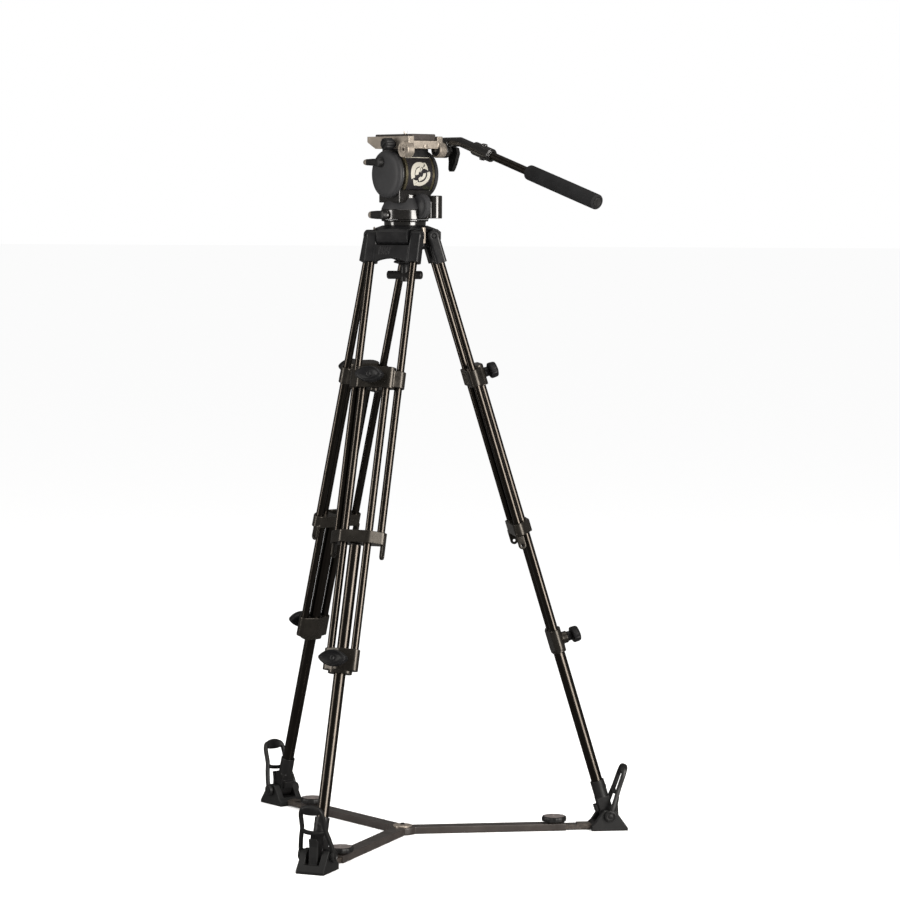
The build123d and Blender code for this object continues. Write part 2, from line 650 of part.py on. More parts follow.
def spreader_hub():
    """Hub and three arm sleeves lying on the floor."""
    hub = rod_z(HUB_RADIUS, 0.0, SLEEVE_HEIGHT)
    for azimuth in LEG_AZIMUTHS:
        hub = hub + arm_sleeve(azimuth)
    for azimuth in LEG_AZIMUTHS:
        hub = hub - arm_channel(azimuth)
    edge = HUB_CAP_RADIUS
    cap = turned([(0, SLEEVE_HEIGHT - 1), (edge, SLEEVE_HEIGHT - 1), (edge, SLEEVE_HEIGHT + 1),
                  (edge - 1.5, SLEEVE_HEIGHT + 2), (5, SLEEVE_HEIGHT + 2.4), (4, SLEEVE_HEIGHT + 4.5),
                  (0, SLEEVE_HEIGHT + 4.5)])
    return hub + cap


def arm_bar():
    """Sliding bar of one arm with the keeper plate near the boot."""
    half = BAR_WIDTH / 2
    end = FOOT_RADIUS - BOOT_INNER + BAR_SEAT
    bar = block(BAR_START, end, -half, half, BAR_LIFT, BAR_LIFT + BAR_HEIGHT)
    top = BAR_LIFT + BAR_HEIGHT
    keeper = block(FOOT_RADIUS - KEEPER_INNER, FOOT_RADIUS - KEEPER_OUTER, -KEEPER_HALF, KEEPER_HALF,
                   top, top + KEEPER_HEIGHT)
    return bar + keeper


def arm_lock_knob():
    """Disc knob that locks the sliding bar."""
    seat = SLEEVE_HEIGHT + ARM_BOSS_RISE + GAP
    disc = rod_z(ARM_KNOB_RADIUS, seat, seat + ARM_KNOB_HEIGHT)
    disc = chamfer(disc.edges().filter_by(GeomType.CIRCLE), 1.5)
    ring = ARM_KNOB_RADIUS + ARM_KNOB_NOTCH_OUT
    for notch in range(ARM_KNOB_NOTCHES):
        angle = math.radians(notch * 360.0 / ARM_KNOB_NOTCHES)
        bite = rod_z(ARM_KNOB_NOTCH_RADIUS, seat - 1.0, seat + ARM_KNOB_HEIGHT + 1.0,
                     ring * math.cos(angle), ring * math.sin(angle))
        disc = disc - bite
    stud = rod_z(KNOB_STUD, BAR_LIFT + BAR_HEIGHT + GAP, seat + 1.0)
    return Pos(ARM_KNOB_AT, 0, 0) * (disc + stud)


# ---------------------------------------------------------------- crown and bowl
def crown_nose(azimuth):
    """Lobe that fills the space between the posts of one leg."""
    r = PIVOT_RADIUS
    z = PIVOT_HEIGHT
    points = [(r - 20, z - 17), (r, z - 18), (r + 8, z - 16.5), (r + 15, z - 11), (r + 16.5, z - 5),
              (r + 16.5, z + 7), (r + 10, CAP_BASE + 1), (r - 20, CAP_BASE + 1)]
    return around(profile_y(points, POST_INNER - CROWN_NOSE_CLEAR), azimuth)


def crown_fin(azimuth):
    """Upright rib between two neighbouring legs."""
    half = CROWN_FIN_HALF
    fin = block(CROWN_FIN_START, CROWN_CAP_RADIUS, -half, half, PIVOT_HEIGHT - 19.0, CAP_BASE + 0.6)
    return around(fin, azimuth + 60.0)


def crown_casting():
    """Three-lobed casting with the levelling bowl."""
    seat = BALL_HEIGHT - SEAT_DROP
    rim = CAP_BASE + CROWN_CAP_HEIGHT
    body = turned([(0, seat), (22, seat), (26, PIVOT_HEIGHT - 27), (38, PIVOT_HEIGHT - 23),
                   (CROWN_CORE_RADIUS, PIVOT_HEIGHT - 17), (CROWN_CORE_RADIUS, CAP_BASE),
                   (CROWN_CAP_RADIUS, CAP_BASE), (CROWN_CAP_RADIUS, CAP_BASE + 1.2),
                   (CROWN_CAP_RADIUS - 9, CAP_BASE + 4.6), (BALL_RADIUS + BOWL_RIM, rim), (0, rim)])
    for azimuth in LEG_AZIMUTHS:
        body = body + crown_nose(azimuth) + crown_fin(azimuth)
    bowl = Pos(0, 0, BALL_HEIGHT) * Sphere(BALL_RADIUS + GAP)
    throat = rod_z(BOWL_THROAT_RADIUS, seat - 1.0, BALL_HEIGHT)
    body = body - bowl - throat
    for azimuth in LEG_AZIMUTHS:
        body = body - hinge_pin(azimuth)
    return body


def hinge_pin(azimuth):
    """Pin that one leg swings on."""
    reach = POST_OUTER - PIN_RECESS
    return around(rod_y(PIN_RADIUS, -reach, reach, PIVOT_RADIUS, PIVOT_HEIGHT), azimuth)


def crown():
    """Crown casting with its three hinge pins."""
    return Compound([crown_casting()] + [hinge_pin(azimuth) for azimuth in LEG_AZIMUTHS])


def levelling_ball():
    """Half ball with the head flange above and the clamp rod below."""
    ball = Pos(0, 0, BALL_HEIGHT) * Sphere(BALL_RADIUS)
    keep = rod_z(BALL_RADIUS + 1, BALL_HEIGHT - BALL_SINK, BALL_HEIGHT + 3.0)
    flange = rod_z(HOUSING_RADIUS - 1.0, BALL_HEIGHT + 2.6, BALL_HEIGHT + 5.6)
    spindle = rod_z(SPINDLE_RADIUS, BALL_HEIGHT + 4.0, BALL_HEIGHT + SPINDLE_LENGTH)
    rod = rod_z(CLAMP_ROD, BALL_HEIGHT - CLAMP_DROP - CLAMP_ROD_REACH, BALL_HEIGHT - BALL_SINK + 1.0)
    return (ball & keep) + flange + spindle + rod


def bowl_clamp_handle():
    """T-handle with the clamp dish under the bowl."""
    top = BALL_HEIGHT - CLAMP_DROP
    wide = DISH_RADIUS
    stem = T_STEM_RADIUS
    dish = turned([(0, top), (wide - 2, top), (wide, top - 2), (wide, top - 4), (stem + 1.5, top - 7),
                   (stem, top - 12), (stem, top - T_STEM_LENGTH), (0, top - T_STEM_LENGTH)])
    bar = rod_y(T_BAR_SIZE / 2, -T_BAR_LENGTH / 2, T_BAR_LENGTH / 2, 0.0, top - T_BAR_DROP)
    bar = chamfer(bar.edges().filter_by(GeomType.CIRCLE), 2.0)
    bar = Rot(0, 0, T_BAR_TURN) * bar
    hole = rod_z(CLAMP_ROD + RUNNING, top - CLAMP_ROD_REACH - 0.5, top + 1.0)
    return dish + bar - hole


# ---------------------------------------------------------------- fluid head
def housing_shell():
    """Turned base of the head."""
    base = HOUSING_BASE
    wall = base + HOUSING_WALL_HEIGHT
    return turned([(0, base), (HOUSING_RADIUS, base), (HOUSING_RADIUS, wall),
                   (HOUSING_RADIUS - 1.5, wall + 2), (HOUSING_NECK, base + HOUSING_CONE_HEIGHT),
                   (HOUSING_NECK, base + HOUSING_HEIGHT), (0, base + HOUSING_HEIGHT)])


def pan_housing():
    """Turning base of the head with the two cheeks of the tilt hinge."""
    base = HOUSING_BASE
    saddle = block(-COVER_BACK, COVER_BACK, -SADDLE_HALF, SADDLE_HALF, base + SADDLE_START,
                   TILT_HEIGHT - SADDLE_DROP)
    body = housing_shell() + saddle
    for side in (-1, 1):
        low, high = sorted((side * (DRUM_HALF + GAP), side * COVER_BACK))
        body = body + rod_x(COVER_RADIUS - 1.0, low, high, 0.0, TILT_HEIGHT)
    body = body - rod_x(DRUM_RADIUS + GAP, -DRUM_HALF - GAP, DRUM_HALF + GAP, 0.0, TILT_HEIGHT)
    body = body + rod_x(AXLE_RADIUS, -DRUM_HALF - 1.0, DRUM_HALF + 1.0, 0.0, TILT_HEIGHT)
    body = body - rod_z(SPINDLE_RADIUS + RUNNING, base - 1.0, BALL_HEIGHT + SPINDLE_LENGTH + 0.5)
    body = body + bubble_bracket(base)
    edge = HOUSING_RADIUS + PAN_LEVER_BOSS
    height = BALL_HEIGHT + PAN_LEVER_LIFT
    boss = rod_x(PAN_LEVER_BOSS_RADIUS, HOUSING_RADIUS - 6.0, edge, 0.0, height)
    lever = rod_x(KNOB_STUD + RUNNING, edge - PAN_LEVER_STUD_DEPTH - 2.0, edge + 3.0, 0.0, height)
    return drilled(body + boss, dial_slot(), dial_bore(), lever)


def dial_height():
    """Height of the drag dial axis."""
    return BALL_HEIGHT + DIAL_LIFT


def dial_start():
    """Inner face of the drag dial along X."""
    return -DIAL_WIDTH / 2 - 2.0


def dial_slot():
    """Space the drag dial turns in."""
    start = dial_start() - 0.6
    return rod_x(DIAL_RADIUS + DIAL_CLEAR, start, start + DIAL_WIDTH + 1.2, DIAL_BACK, dial_height())


def dial_bore():
    """Bearing hole of the drag dial."""
    start = dial_start()
    return rod_x(KNOB_STUD + RUNNING, start - DIAL_STUD_DEPTH - 1.0, start + 5.0, DIAL_BACK, dial_height())


def bubble_bracket(base):
    """Bracket behind the housing that carries the dial and the bubble level."""
    side = -BUBBLE_SIDE
    arm = block(side - 8.0, dial_start() - 0.6, BUBBLE_BACK - 17.0, BUBBLE_BACK + 7.0,
                base + 3.0, base + 32.0)
    top = base + BUBBLE_TOP
    cup = rod_z(BUBBLE_RADIUS, base + 2.0, top, side, BUBBLE_BACK)
    well = rod_z(BUBBLE_RADIUS - BUBBLE_WALL, top - BUBBLE_WELL_DEPTH, top + 1.0, side, BUBBLE_BACK)
    return arm + cup - well


def drag_dial():
    """Upright disc that sets the drag."""
    start = dial_start()
    disc = rod_x(DIAL_RADIUS, start, start + DIAL_WIDTH - DIAL_CLEAR, DIAL_BACK, dial_height())
    disc = chamfer(disc.edges().filter_by(GeomType.CIRCLE), 1.5)
    stud = rod_x(KNOB_STUD, start - DIAL_STUD_DEPTH, start + 1.0, DIAL_BACK, dial_height())
    return disc + stud


def lock_lever(face, height, reach, back, length):
    """Short lever on a stud along X, pointing forward."""
    foot = face + GAP
    end = back - length + LEVER_HALF_WIDTH
    hub = rod_x(LEVER_BOSS_RADIUS, foot, foot + LEVER_BOSS_HEIGHT, back, height)
    half = LEVER_HALF_WIDTH
    arm = block(foot + LEVER_LOW, foot + LEVER_HIGH, end, back, height - half, height + half)
    tip = rod_x(LEVER_HALF_WIDTH, foot + LEVER_LOW, foot + LEVER_HIGH, end, height)
    stud = rod_x(KNOB_STUD, face - reach, foot + 2.0, back, height)
    return hub + arm + tip + stud


def pan_lock_lever():
    """Lever that locks panning."""
    return lock_lever(HOUSING_RADIUS + PAN_LEVER_BOSS, BALL_HEIGHT + PAN_LEVER_LIFT,
                      PAN_LEVER_STUD_DEPTH, 0.0, PAN_LEVER_LENGTH)


def tilt_lock_lever():
    """Lever that locks tilting."""
    return lock_lever(COVER_FACE, TILT_HEIGHT + TILT_LEVER_LIFT,
                      TILT_LEVER_STUD_DEPTH, TILT_LEVER_BACK, TILT_LEVER_LENGTH)


def side_covers():
    """Domed round covers outside the two cheeks."""
    covers = []
    for side in (-1, 1):
        low, high = sorted((side * COVER_BACK, side * COVER_FACE))
        disc = rod_x(COVER_RADIUS, low, high, 0.0, TILT_HEIGHT)
        outer = disc.edges().filter_by(GeomType.CIRCLE).sort_by(Axis.X)[-1 if side > 0 else 0]
        covers.append(fillet(outer, COVER_ROUND))
    bore = rod_x(KNOB_STUD + RUNNING, COVER_FACE - TILT_LEVER_STUD_DEPTH - 1.0, COVER_FACE + 1.0,
                 TILT_LEVER_BACK, TILT_HEIGHT + TILT_LEVER_LIFT)
    covers[1] = covers[1] - bore
    return Compound(covers)


def tilt_drum():
    """Tilting drum with the neck that carries the platform."""
    wide = DRUM_HALF + 1
    drum = rod_x(DRUM_RADIUS, -DRUM_HALF, DRUM_HALF, 0.0, TILT_HEIGHT)
    flat = block(-wide, wide, DRUM_RADIUS - DRUM_FLAT, DRUM_RADIUS + 1.0, TILT_HEIGHT - DRUM_RADIUS / 2,
                 TILT_HEIGHT + DRUM_RADIUS)
    neck = block(-DRUM_HALF + 3.0, DRUM_HALF - 3.0, -DRUM_NECK_HALF, DRUM_NECK_HALF,
                 TILT_HEIGHT + DRUM_RADIUS / 2, PLATFORM_BASE)
    bore = rod_x(AXLE_RADIUS + RUNNING, -wide, wide, 0.0, TILT_HEIGHT)
    return drum - flat + neck - bore


# ---------------------------------------------------------------- platform
def platform_bevel():
    """Wedge taken off under the front of the platform."""
    front = -PLATFORM_FRONT
    back = front + PLATFORM_BEVEL_LENGTH
    low = PLATFORM_BASE
    wedge = Plane.YZ * Polyline((front - 1, low - 1), (back, low - 1), (back, low),
                                (front - 1, low + PLATFORM_BEVEL_HEIGHT), close=True)
    return extrude(make_face(wedge), amount=PLATFORM_WIDTH / 2 + 1, both=True)


def top_platform():
    """Platform with the plate channel and the two handle rosettes."""
    half = PLATFORM_WIDTH / 2
    body = block(-half, half, -PLATFORM_FRONT, PLATFORM_REAR, PLATFORM_BASE, PLATFORM_TOP) - platform_bevel()
    for side in (-1, 1):
        low, high = sorted((side * (half - ROSETTE_IN), side * (half + ROSETTE_OUT)))
        body = body + rod_x(ROSETTE_RADIUS, low, high, ROSETTE_BACK, ROSETTE_HEIGHT)
    groove = PLATE_WIDTH / 2 + GAP
    channel = block(-groove, groove, -PLATFORM_FRONT - 1, PLATFORM_REAR + 1, PLATFORM_TOP - CHANNEL_DEPTH,
                    PLATFORM_TOP + 1)
    bolt = rod_x(KNOB_STUD + RUNNING, -half - ROSETTE_OUT - 2.0, -half + ROSETTE_IN,
                 ROSETTE_BACK, ROSETTE_HEIGHT)
    spare = rod_x(SPARE_BOLT_RADIUS, half - 6.0, half + ROSETTE_OUT + 2.0, ROSETTE_BACK, ROSETTE_HEIGHT)
    knob = rod_x(KNOB_STUD + RUNNING, half - PLATE_KNOB_STUD_DEPTH - 0.5, half + 1.0, PLATE_KNOB_BACK,
                 PLATFORM_BASE + PLATE_KNOB_LIFT)
    return drilled(body, channel, bolt, spare, knob)


def sliding_plate():
    """Camera plate that slides in the platform."""
    low = PLATE_BASE
    half = PLATE_WIDTH / 2
    plate = block(-half, half, -PLATE_LENGTH / 2, PLATE_LENGTH / 2, low, low + PLATE_THICKNESS)
    plate = chamfer(plate.faces().sort_by(Axis.Z)[-1].edges(), 1.0)
    head = rod_z(SCREW_HEAD_RADIUS, low - 1.0, low + SCREW_HEAD_TOP)
    return drilled(plate, head, rod_z(SCREW_RADIUS, low, low + PLATE_THICKNESS + 1))


def camera_screw():
    """Camera screw standing out of the plate."""
    low = PLATE_BASE
    shoulder = low + PLATE_THICKNESS + SCREW_NECK_RISE
    head = rod_z(SCREW_HEAD_RADIUS, low + SCREW_HEAD_BASE, low + SCREW_HEAD_TOP)
    neck = rod_z(SCREW_NECK, low + SCREW_HEAD_TOP - 1.0, shoulder)
    thread = rod_z(SCREW_RADIUS, shoulder, low + PLATE_THICKNESS + SCREW_REACH)
    return head + neck + thread


def plate_lock_knob():
    """Round knob that clamps the sliding plate."""
    half = PLATFORM_WIDTH / 2
    height = PLATFORM_BASE + PLATE_KNOB_LIFT
    start = half + PLATE_KNOB_START
    grip = rod_x(PLATE_KNOB_RADIUS, start, start + PLATE_KNOB_LENGTH, PLATE_KNOB_BACK, height)
    grip = chamfer(grip.edges().filter_by(GeomType.CIRCLE), 1.5)
    neck = rod_x(PLATE_KNOB_NECK, half + GAP, start + 1.0, PLATE_KNOB_BACK, height)
    stud = rod_x(KNOB_STUD, half - PLATE_KNOB_STUD_DEPTH, half + 1.0, PLATE_KNOB_BACK, height)
    return grip + neck + stud


# ---------------------------------------------------------------- pan handle
def along_handle(shape):
    """Move a shape built along Z from the bend to its place on the handle."""
    turn = Rot(-90.0 - HANDLE_SLOPE, 0, 0)
    return Pos(-HANDLE_SIDE, HANDLE_BEND, HANDLE_HEIGHT) * turn * shape


def handle_root():
    """Rosette plate of the handle and the riser above it."""
    face = -HANDLE_FACE
    back = face - HANDLE_PLATE
    rosette = rod_x(ROSETTE_RADIUS, back, face, ROSETTE_BACK, ROSETTE_HEIGHT)
    riser = block(back, face, ROSETTE_BACK - HANDLE_RISER_HALF, ROSETTE_BACK + HANDLE_RISER_HALF,
                  ROSETTE_HEIGHT, HANDLE_HEIGHT)
    return rosette + riser


def handle_arm():
    """Fixed part of the handle with its rosette and lock collar."""
    face = -HANDLE_FACE
    level = rod_y(HANDLE_RADIUS, ROSETTE_BACK - HANDLE_RISER_HALF, HANDLE_BEND, -HANDLE_SIDE, HANDLE_HEIGHT)
    elbow = Pos(-HANDLE_SIDE, HANDLE_BEND, HANDLE_HEIGHT) * Sphere(HANDLE_RADIUS)
    slope = along_handle(rod_z(HANDLE_RADIUS, 0.0, HANDLE_OUTER))
    collar = along_handle(rod_z(HANDLE_COLLAR, HANDLE_COLLAR_START, HANDLE_OUTER - HANDLE_COLLAR_SHORT))
    bump = along_handle(rod_y(COLLAR_BOLT_RADIUS, -COLLAR_BOLT_HALF, COLLAR_BOLT_HALF, 0.0, COLLAR_BOLT_AT))
    bolt = rod_x(KNOB_STUD + RUNNING, face - HANDLE_PLATE - 12.0, face + 1.0, ROSETTE_BACK, ROSETTE_HEIGHT)
    bore = along_handle(rod_z(HANDLE_INNER_RADIUS + RUNNING, HANDLE_BORE_START, HANDLE_OUTER + 1.0))
    return drilled(handle_root() + level + elbow + slope + collar + bump, bolt, bore)


def handle_tube():
    """Sliding inner tube of the handle."""
    start = HANDLE_OUTER - HANDLE_INNER_INSERT
    end = GRIP_END - GRIP_END_WALL
    hollow = rod_z(HANDLE_INNER_RADIUS - HANDLE_INNER_WALL, start, end)
    return along_handle(rod_z(HANDLE_INNER_RADIUS, start, end) - hollow)


def handle_grip():
    """Soft sleeve on the end of the handle."""
    grip = rod_z(GRIP_RADIUS, GRIP_START, GRIP_END)
    grip = fillet(grip.edges().filter_by(GeomType.CIRCLE), GRIP_ROUND)
    return along_handle(grip - rod_z(HANDLE_INNER_RADIUS, GRIP_START - 1.0, GRIP_END - GRIP_END_WALL))


def handle_clamp_lever():
    """Hanging lever that clamps the handle rosette."""
    face = -HANDLE_FACE - HANDLE_PLATE - GAP
    hub = rod_x(LEVER_HUB_RADIUS, face - LEVER_HUB_LENGTH, face, ROSETTE_BACK, ROSETTE_HEIGHT)
    stud = rod_x(KNOB_STUD, face - 1.0, face + LEVER_STUD_DEPTH, ROSETTE_BACK, ROSETTE_HEIGHT)
    outline = Plane.YZ * Polyline((-7, 5), (4, 7), (15, 4), (18, -6), (11, -24), (5, -34), (1, -38),
                                  (-5, -38), (-8, -34), (-7, -20), (-9, -6), close=True)
    wing = extrude(make_face(outline), amount=LEVER_WING_HALF, both=True)
    wing = Pos(face - LEVER_WING_OUT, ROSETTE_BACK, ROSETTE_HEIGHT) * wing
    return hub + stud + wing


# ---------------------------------------------------------------- write the nodes
LEG_PARTS = {
    "leg_yoke": leg_yoke,
    "upper_tubes": upper_tubes,
    "upper_bracket": upper_bracket,
    "middle_clamp": middle_clamp,
    "middle_tubes": middle_tubes,
    "middle_lock_knob": middle_lock_knob,
    "lower_clamp": lower_clamp,
    "lower_lock_knob": lower_lock_knob,
    "lower_tube": lower_tube,
    "ankle": ankle,
}

FLOOR_PARTS = {
    "foot_boot": foot_boot,
    "boot_latch": boot_latch,
    "arm_bar": arm_bar,
    "arm_lock_knob": arm_lock_knob,
}

SINGLE_PARTS = {
    "spreader_hub": spreader_hub,
    "crown": crown,
    "levelling_ball": levelling_ball,
    "bowl_clamp_handle": bowl_clamp_handle,
    "pan_housing": pan_housing,
    "drag_dial": drag_dial,
    "pan_lock_lever": pan_lock_lever,
    "tilt_lock_lever": tilt_lock_lever,
    "side_covers": side_covers,
    "tilt_drum": tilt_drum,
    "top_platform": top_platform,
    "sliding_plate": sliding_plate,
    "camera_screw": camera_screw,
    "plate_lock_knob": plate_lock_knob,
    "handle_arm": handle_arm,
    "handle_tube": handle_tube,
    "handle_grip": handle_grip,
    "handle_clamp_lever": handle_clamp_lever,
}

for name, build in LEG_PARTS.items():
    shape = build()
    for number, azimuth in enumerate(LEG_AZIMUTHS, start=1):
        save(in_leg(shape, azimuth), f"{name}_{number}")

for name, build in FLOOR_PARTS.items():
    shape = build()
    for number, azimuth in enumerate(LEG_AZIMUTHS, start=1):
        save(around(shape, azimuth), f"{name}_{number}")

for name, build in SINGLE_PARTS.items():
    save(build(), name)
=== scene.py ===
"""Studio scene of a camera tripod with a fluid head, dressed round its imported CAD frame."""
import json
import logging
import math
from dataclasses import dataclass, field
from enum import Enum

import bmesh
import bpy
import numpy as np
from mathutils import Matrix, Vector


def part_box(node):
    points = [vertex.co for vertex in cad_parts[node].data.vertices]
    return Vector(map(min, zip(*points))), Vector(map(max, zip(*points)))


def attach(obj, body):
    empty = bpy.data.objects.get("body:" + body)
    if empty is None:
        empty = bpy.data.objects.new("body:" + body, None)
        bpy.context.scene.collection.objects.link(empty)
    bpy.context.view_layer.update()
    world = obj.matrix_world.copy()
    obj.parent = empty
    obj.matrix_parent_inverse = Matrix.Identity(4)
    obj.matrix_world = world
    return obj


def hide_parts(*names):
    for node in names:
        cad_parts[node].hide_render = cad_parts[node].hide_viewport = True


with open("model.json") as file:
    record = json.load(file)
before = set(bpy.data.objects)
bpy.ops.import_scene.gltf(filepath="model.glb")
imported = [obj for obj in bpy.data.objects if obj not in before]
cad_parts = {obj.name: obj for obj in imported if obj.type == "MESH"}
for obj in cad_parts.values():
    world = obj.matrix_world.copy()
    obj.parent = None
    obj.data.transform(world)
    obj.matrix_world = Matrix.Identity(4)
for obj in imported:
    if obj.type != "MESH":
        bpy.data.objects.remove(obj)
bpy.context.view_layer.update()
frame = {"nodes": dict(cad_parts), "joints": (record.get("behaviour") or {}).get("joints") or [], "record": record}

LOG = logging.getLogger("tripod")
MM = 0.001
Socket = bpy.types.NodeSocket
Array = np.ndarray
LEGS = (1, 2, 3)
SHARP = math.radians(38.0)
EAST, NORTH, UP = np.eye(3)
JOINTS = {joint["name"]: joint for joint in frame["joints"]}
BODY_OF = {node: body for body, nodes in frame["record"]["behaviour"]["bodies"].items() for node in nodes}
SLOT_OF = {part["node"]: part["material_slot"] for part in frame["record"]["subparts"]}


# ---------------------------------------------------------------- finishes
class Grain(Enum):
    """Surface structure of a finish."""

    CAST = "cast"
    MOULDED = "moulded"
    DRAWN = "drawn"
    BLASTED = "blasted"
    FOAM = "foam"
    RUBBER = "rubber"


# scale, detail and roughness of the noise that makes each grain
NOISE_OF = {Grain.CAST: (700.0, 4.0, 0.7), Grain.MOULDED: (1300.0, 3.0, 0.65),
            Grain.BLASTED: (2200.0, 2.0, 0.6), Grain.RUBBER: (420.0, 5.0, 0.75)}


@dataclass(frozen=True)
class Finish:
    """One material: colour, gloss, grain and wear."""

    name: str
    colour: tuple[float, float, float]
    metallic: float = 0.0
    roughness: float = 0.5
    rough_spread: float = 0.1
    tint_spread: float = 0.25
    grain: Grain = Grain.MOULDED
    grain_depth: float = 0.00003
    coat: float = 0.0
    wear: float = 0.0
    wear_colour: tuple[float, float, float] = (0.3, 0.29, 0.28)
    specular: float = 0.5

    def material(self) -> bpy.types.Material:
        """Build the node tree once and hand it out again.

        Returns:
            The Blender material of this finish.
        """
        known = bpy.data.materials.get(self.name)
        if known:
            return known
        made = bpy.data.materials.new(self.name)
        made.use_nodes = True
        made.diffuse_color = (*self.colour, 1.0)
        tree = NodeBench(made.node_tree)
        shader = tree.shader
        shader.inputs["Metallic"].default_value = self.metallic
        shader.inputs["Coat Weight"].default_value = self.coat
        shader.inputs["Coat Roughness"].default_value = 0.12
        shader.inputs["Specular IOR Level"].default_value = self.specular
        self._colour(tree)
        self._gloss(tree)
        self._bump(tree)
        return made

    def _colour(self, tree: "NodeBench") -> None:
        """Blotchy base colour, with lighter worn edges where the finish has them.

        Args:
            tree: bench of the material.
        """
        cloud = tree.noise(scale=22.0, detail=4.0, roughness=0.6)
        dark = tuple(c * (1.0 - self.tint_spread) for c in self.colour)
        light = tuple(min(1.0, c * (1.0 + self.tint_spread)) for c in self.colour)
        colour = tree.ramp(cloud, 0.32, 0.68, dark, light)
        if self.wear > 0.0:
            edge = tree.remap(tree.pointiness(), 0.525, 0.60, 0.0, 1.0)
            fine = tree.noise(scale=260.0, detail=3.0, roughness=0.7)
            scratch = tree.remap(fine, 0.42, 0.62, 0.0, self.wear)
            mask = tree.multiply(edge, scratch)
            colour = tree.mix(mask, colour, self.wear_colour)
        tree.link(colour, "Base Color")

    def _gloss(self, tree: "NodeBench") -> None:
        """Roughness that wanders round its mean, as handling leaves it.

        Args:
            tree: bench of the material.
        """
        smear = tree.noise(scale=60.0, detail=5.0, roughness=0.65)
        low = max(0.03, self.roughness - self.rough_spread)
        high = min(1.0, self.roughness + self.rough_spread)
        tree.link(tree.remap(smear, 0.35, 0.65, low, high), "Roughness")

    def _bump(self, tree: "NodeBench") -> None:
        """Fine relief by kind of grain.

        Args:
            tree: bench of the material.
        """
        if self.grain is Grain.DRAWN:
            height = tree.streaks(across=90.0, along=3.0)
        elif self.grain is Grain.FOAM:
            height = tree.cells(scale=900.0)
        else:
            height = tree.noise(*NOISE_OF[self.grain])
        tree.bump(height, self.grain_depth)


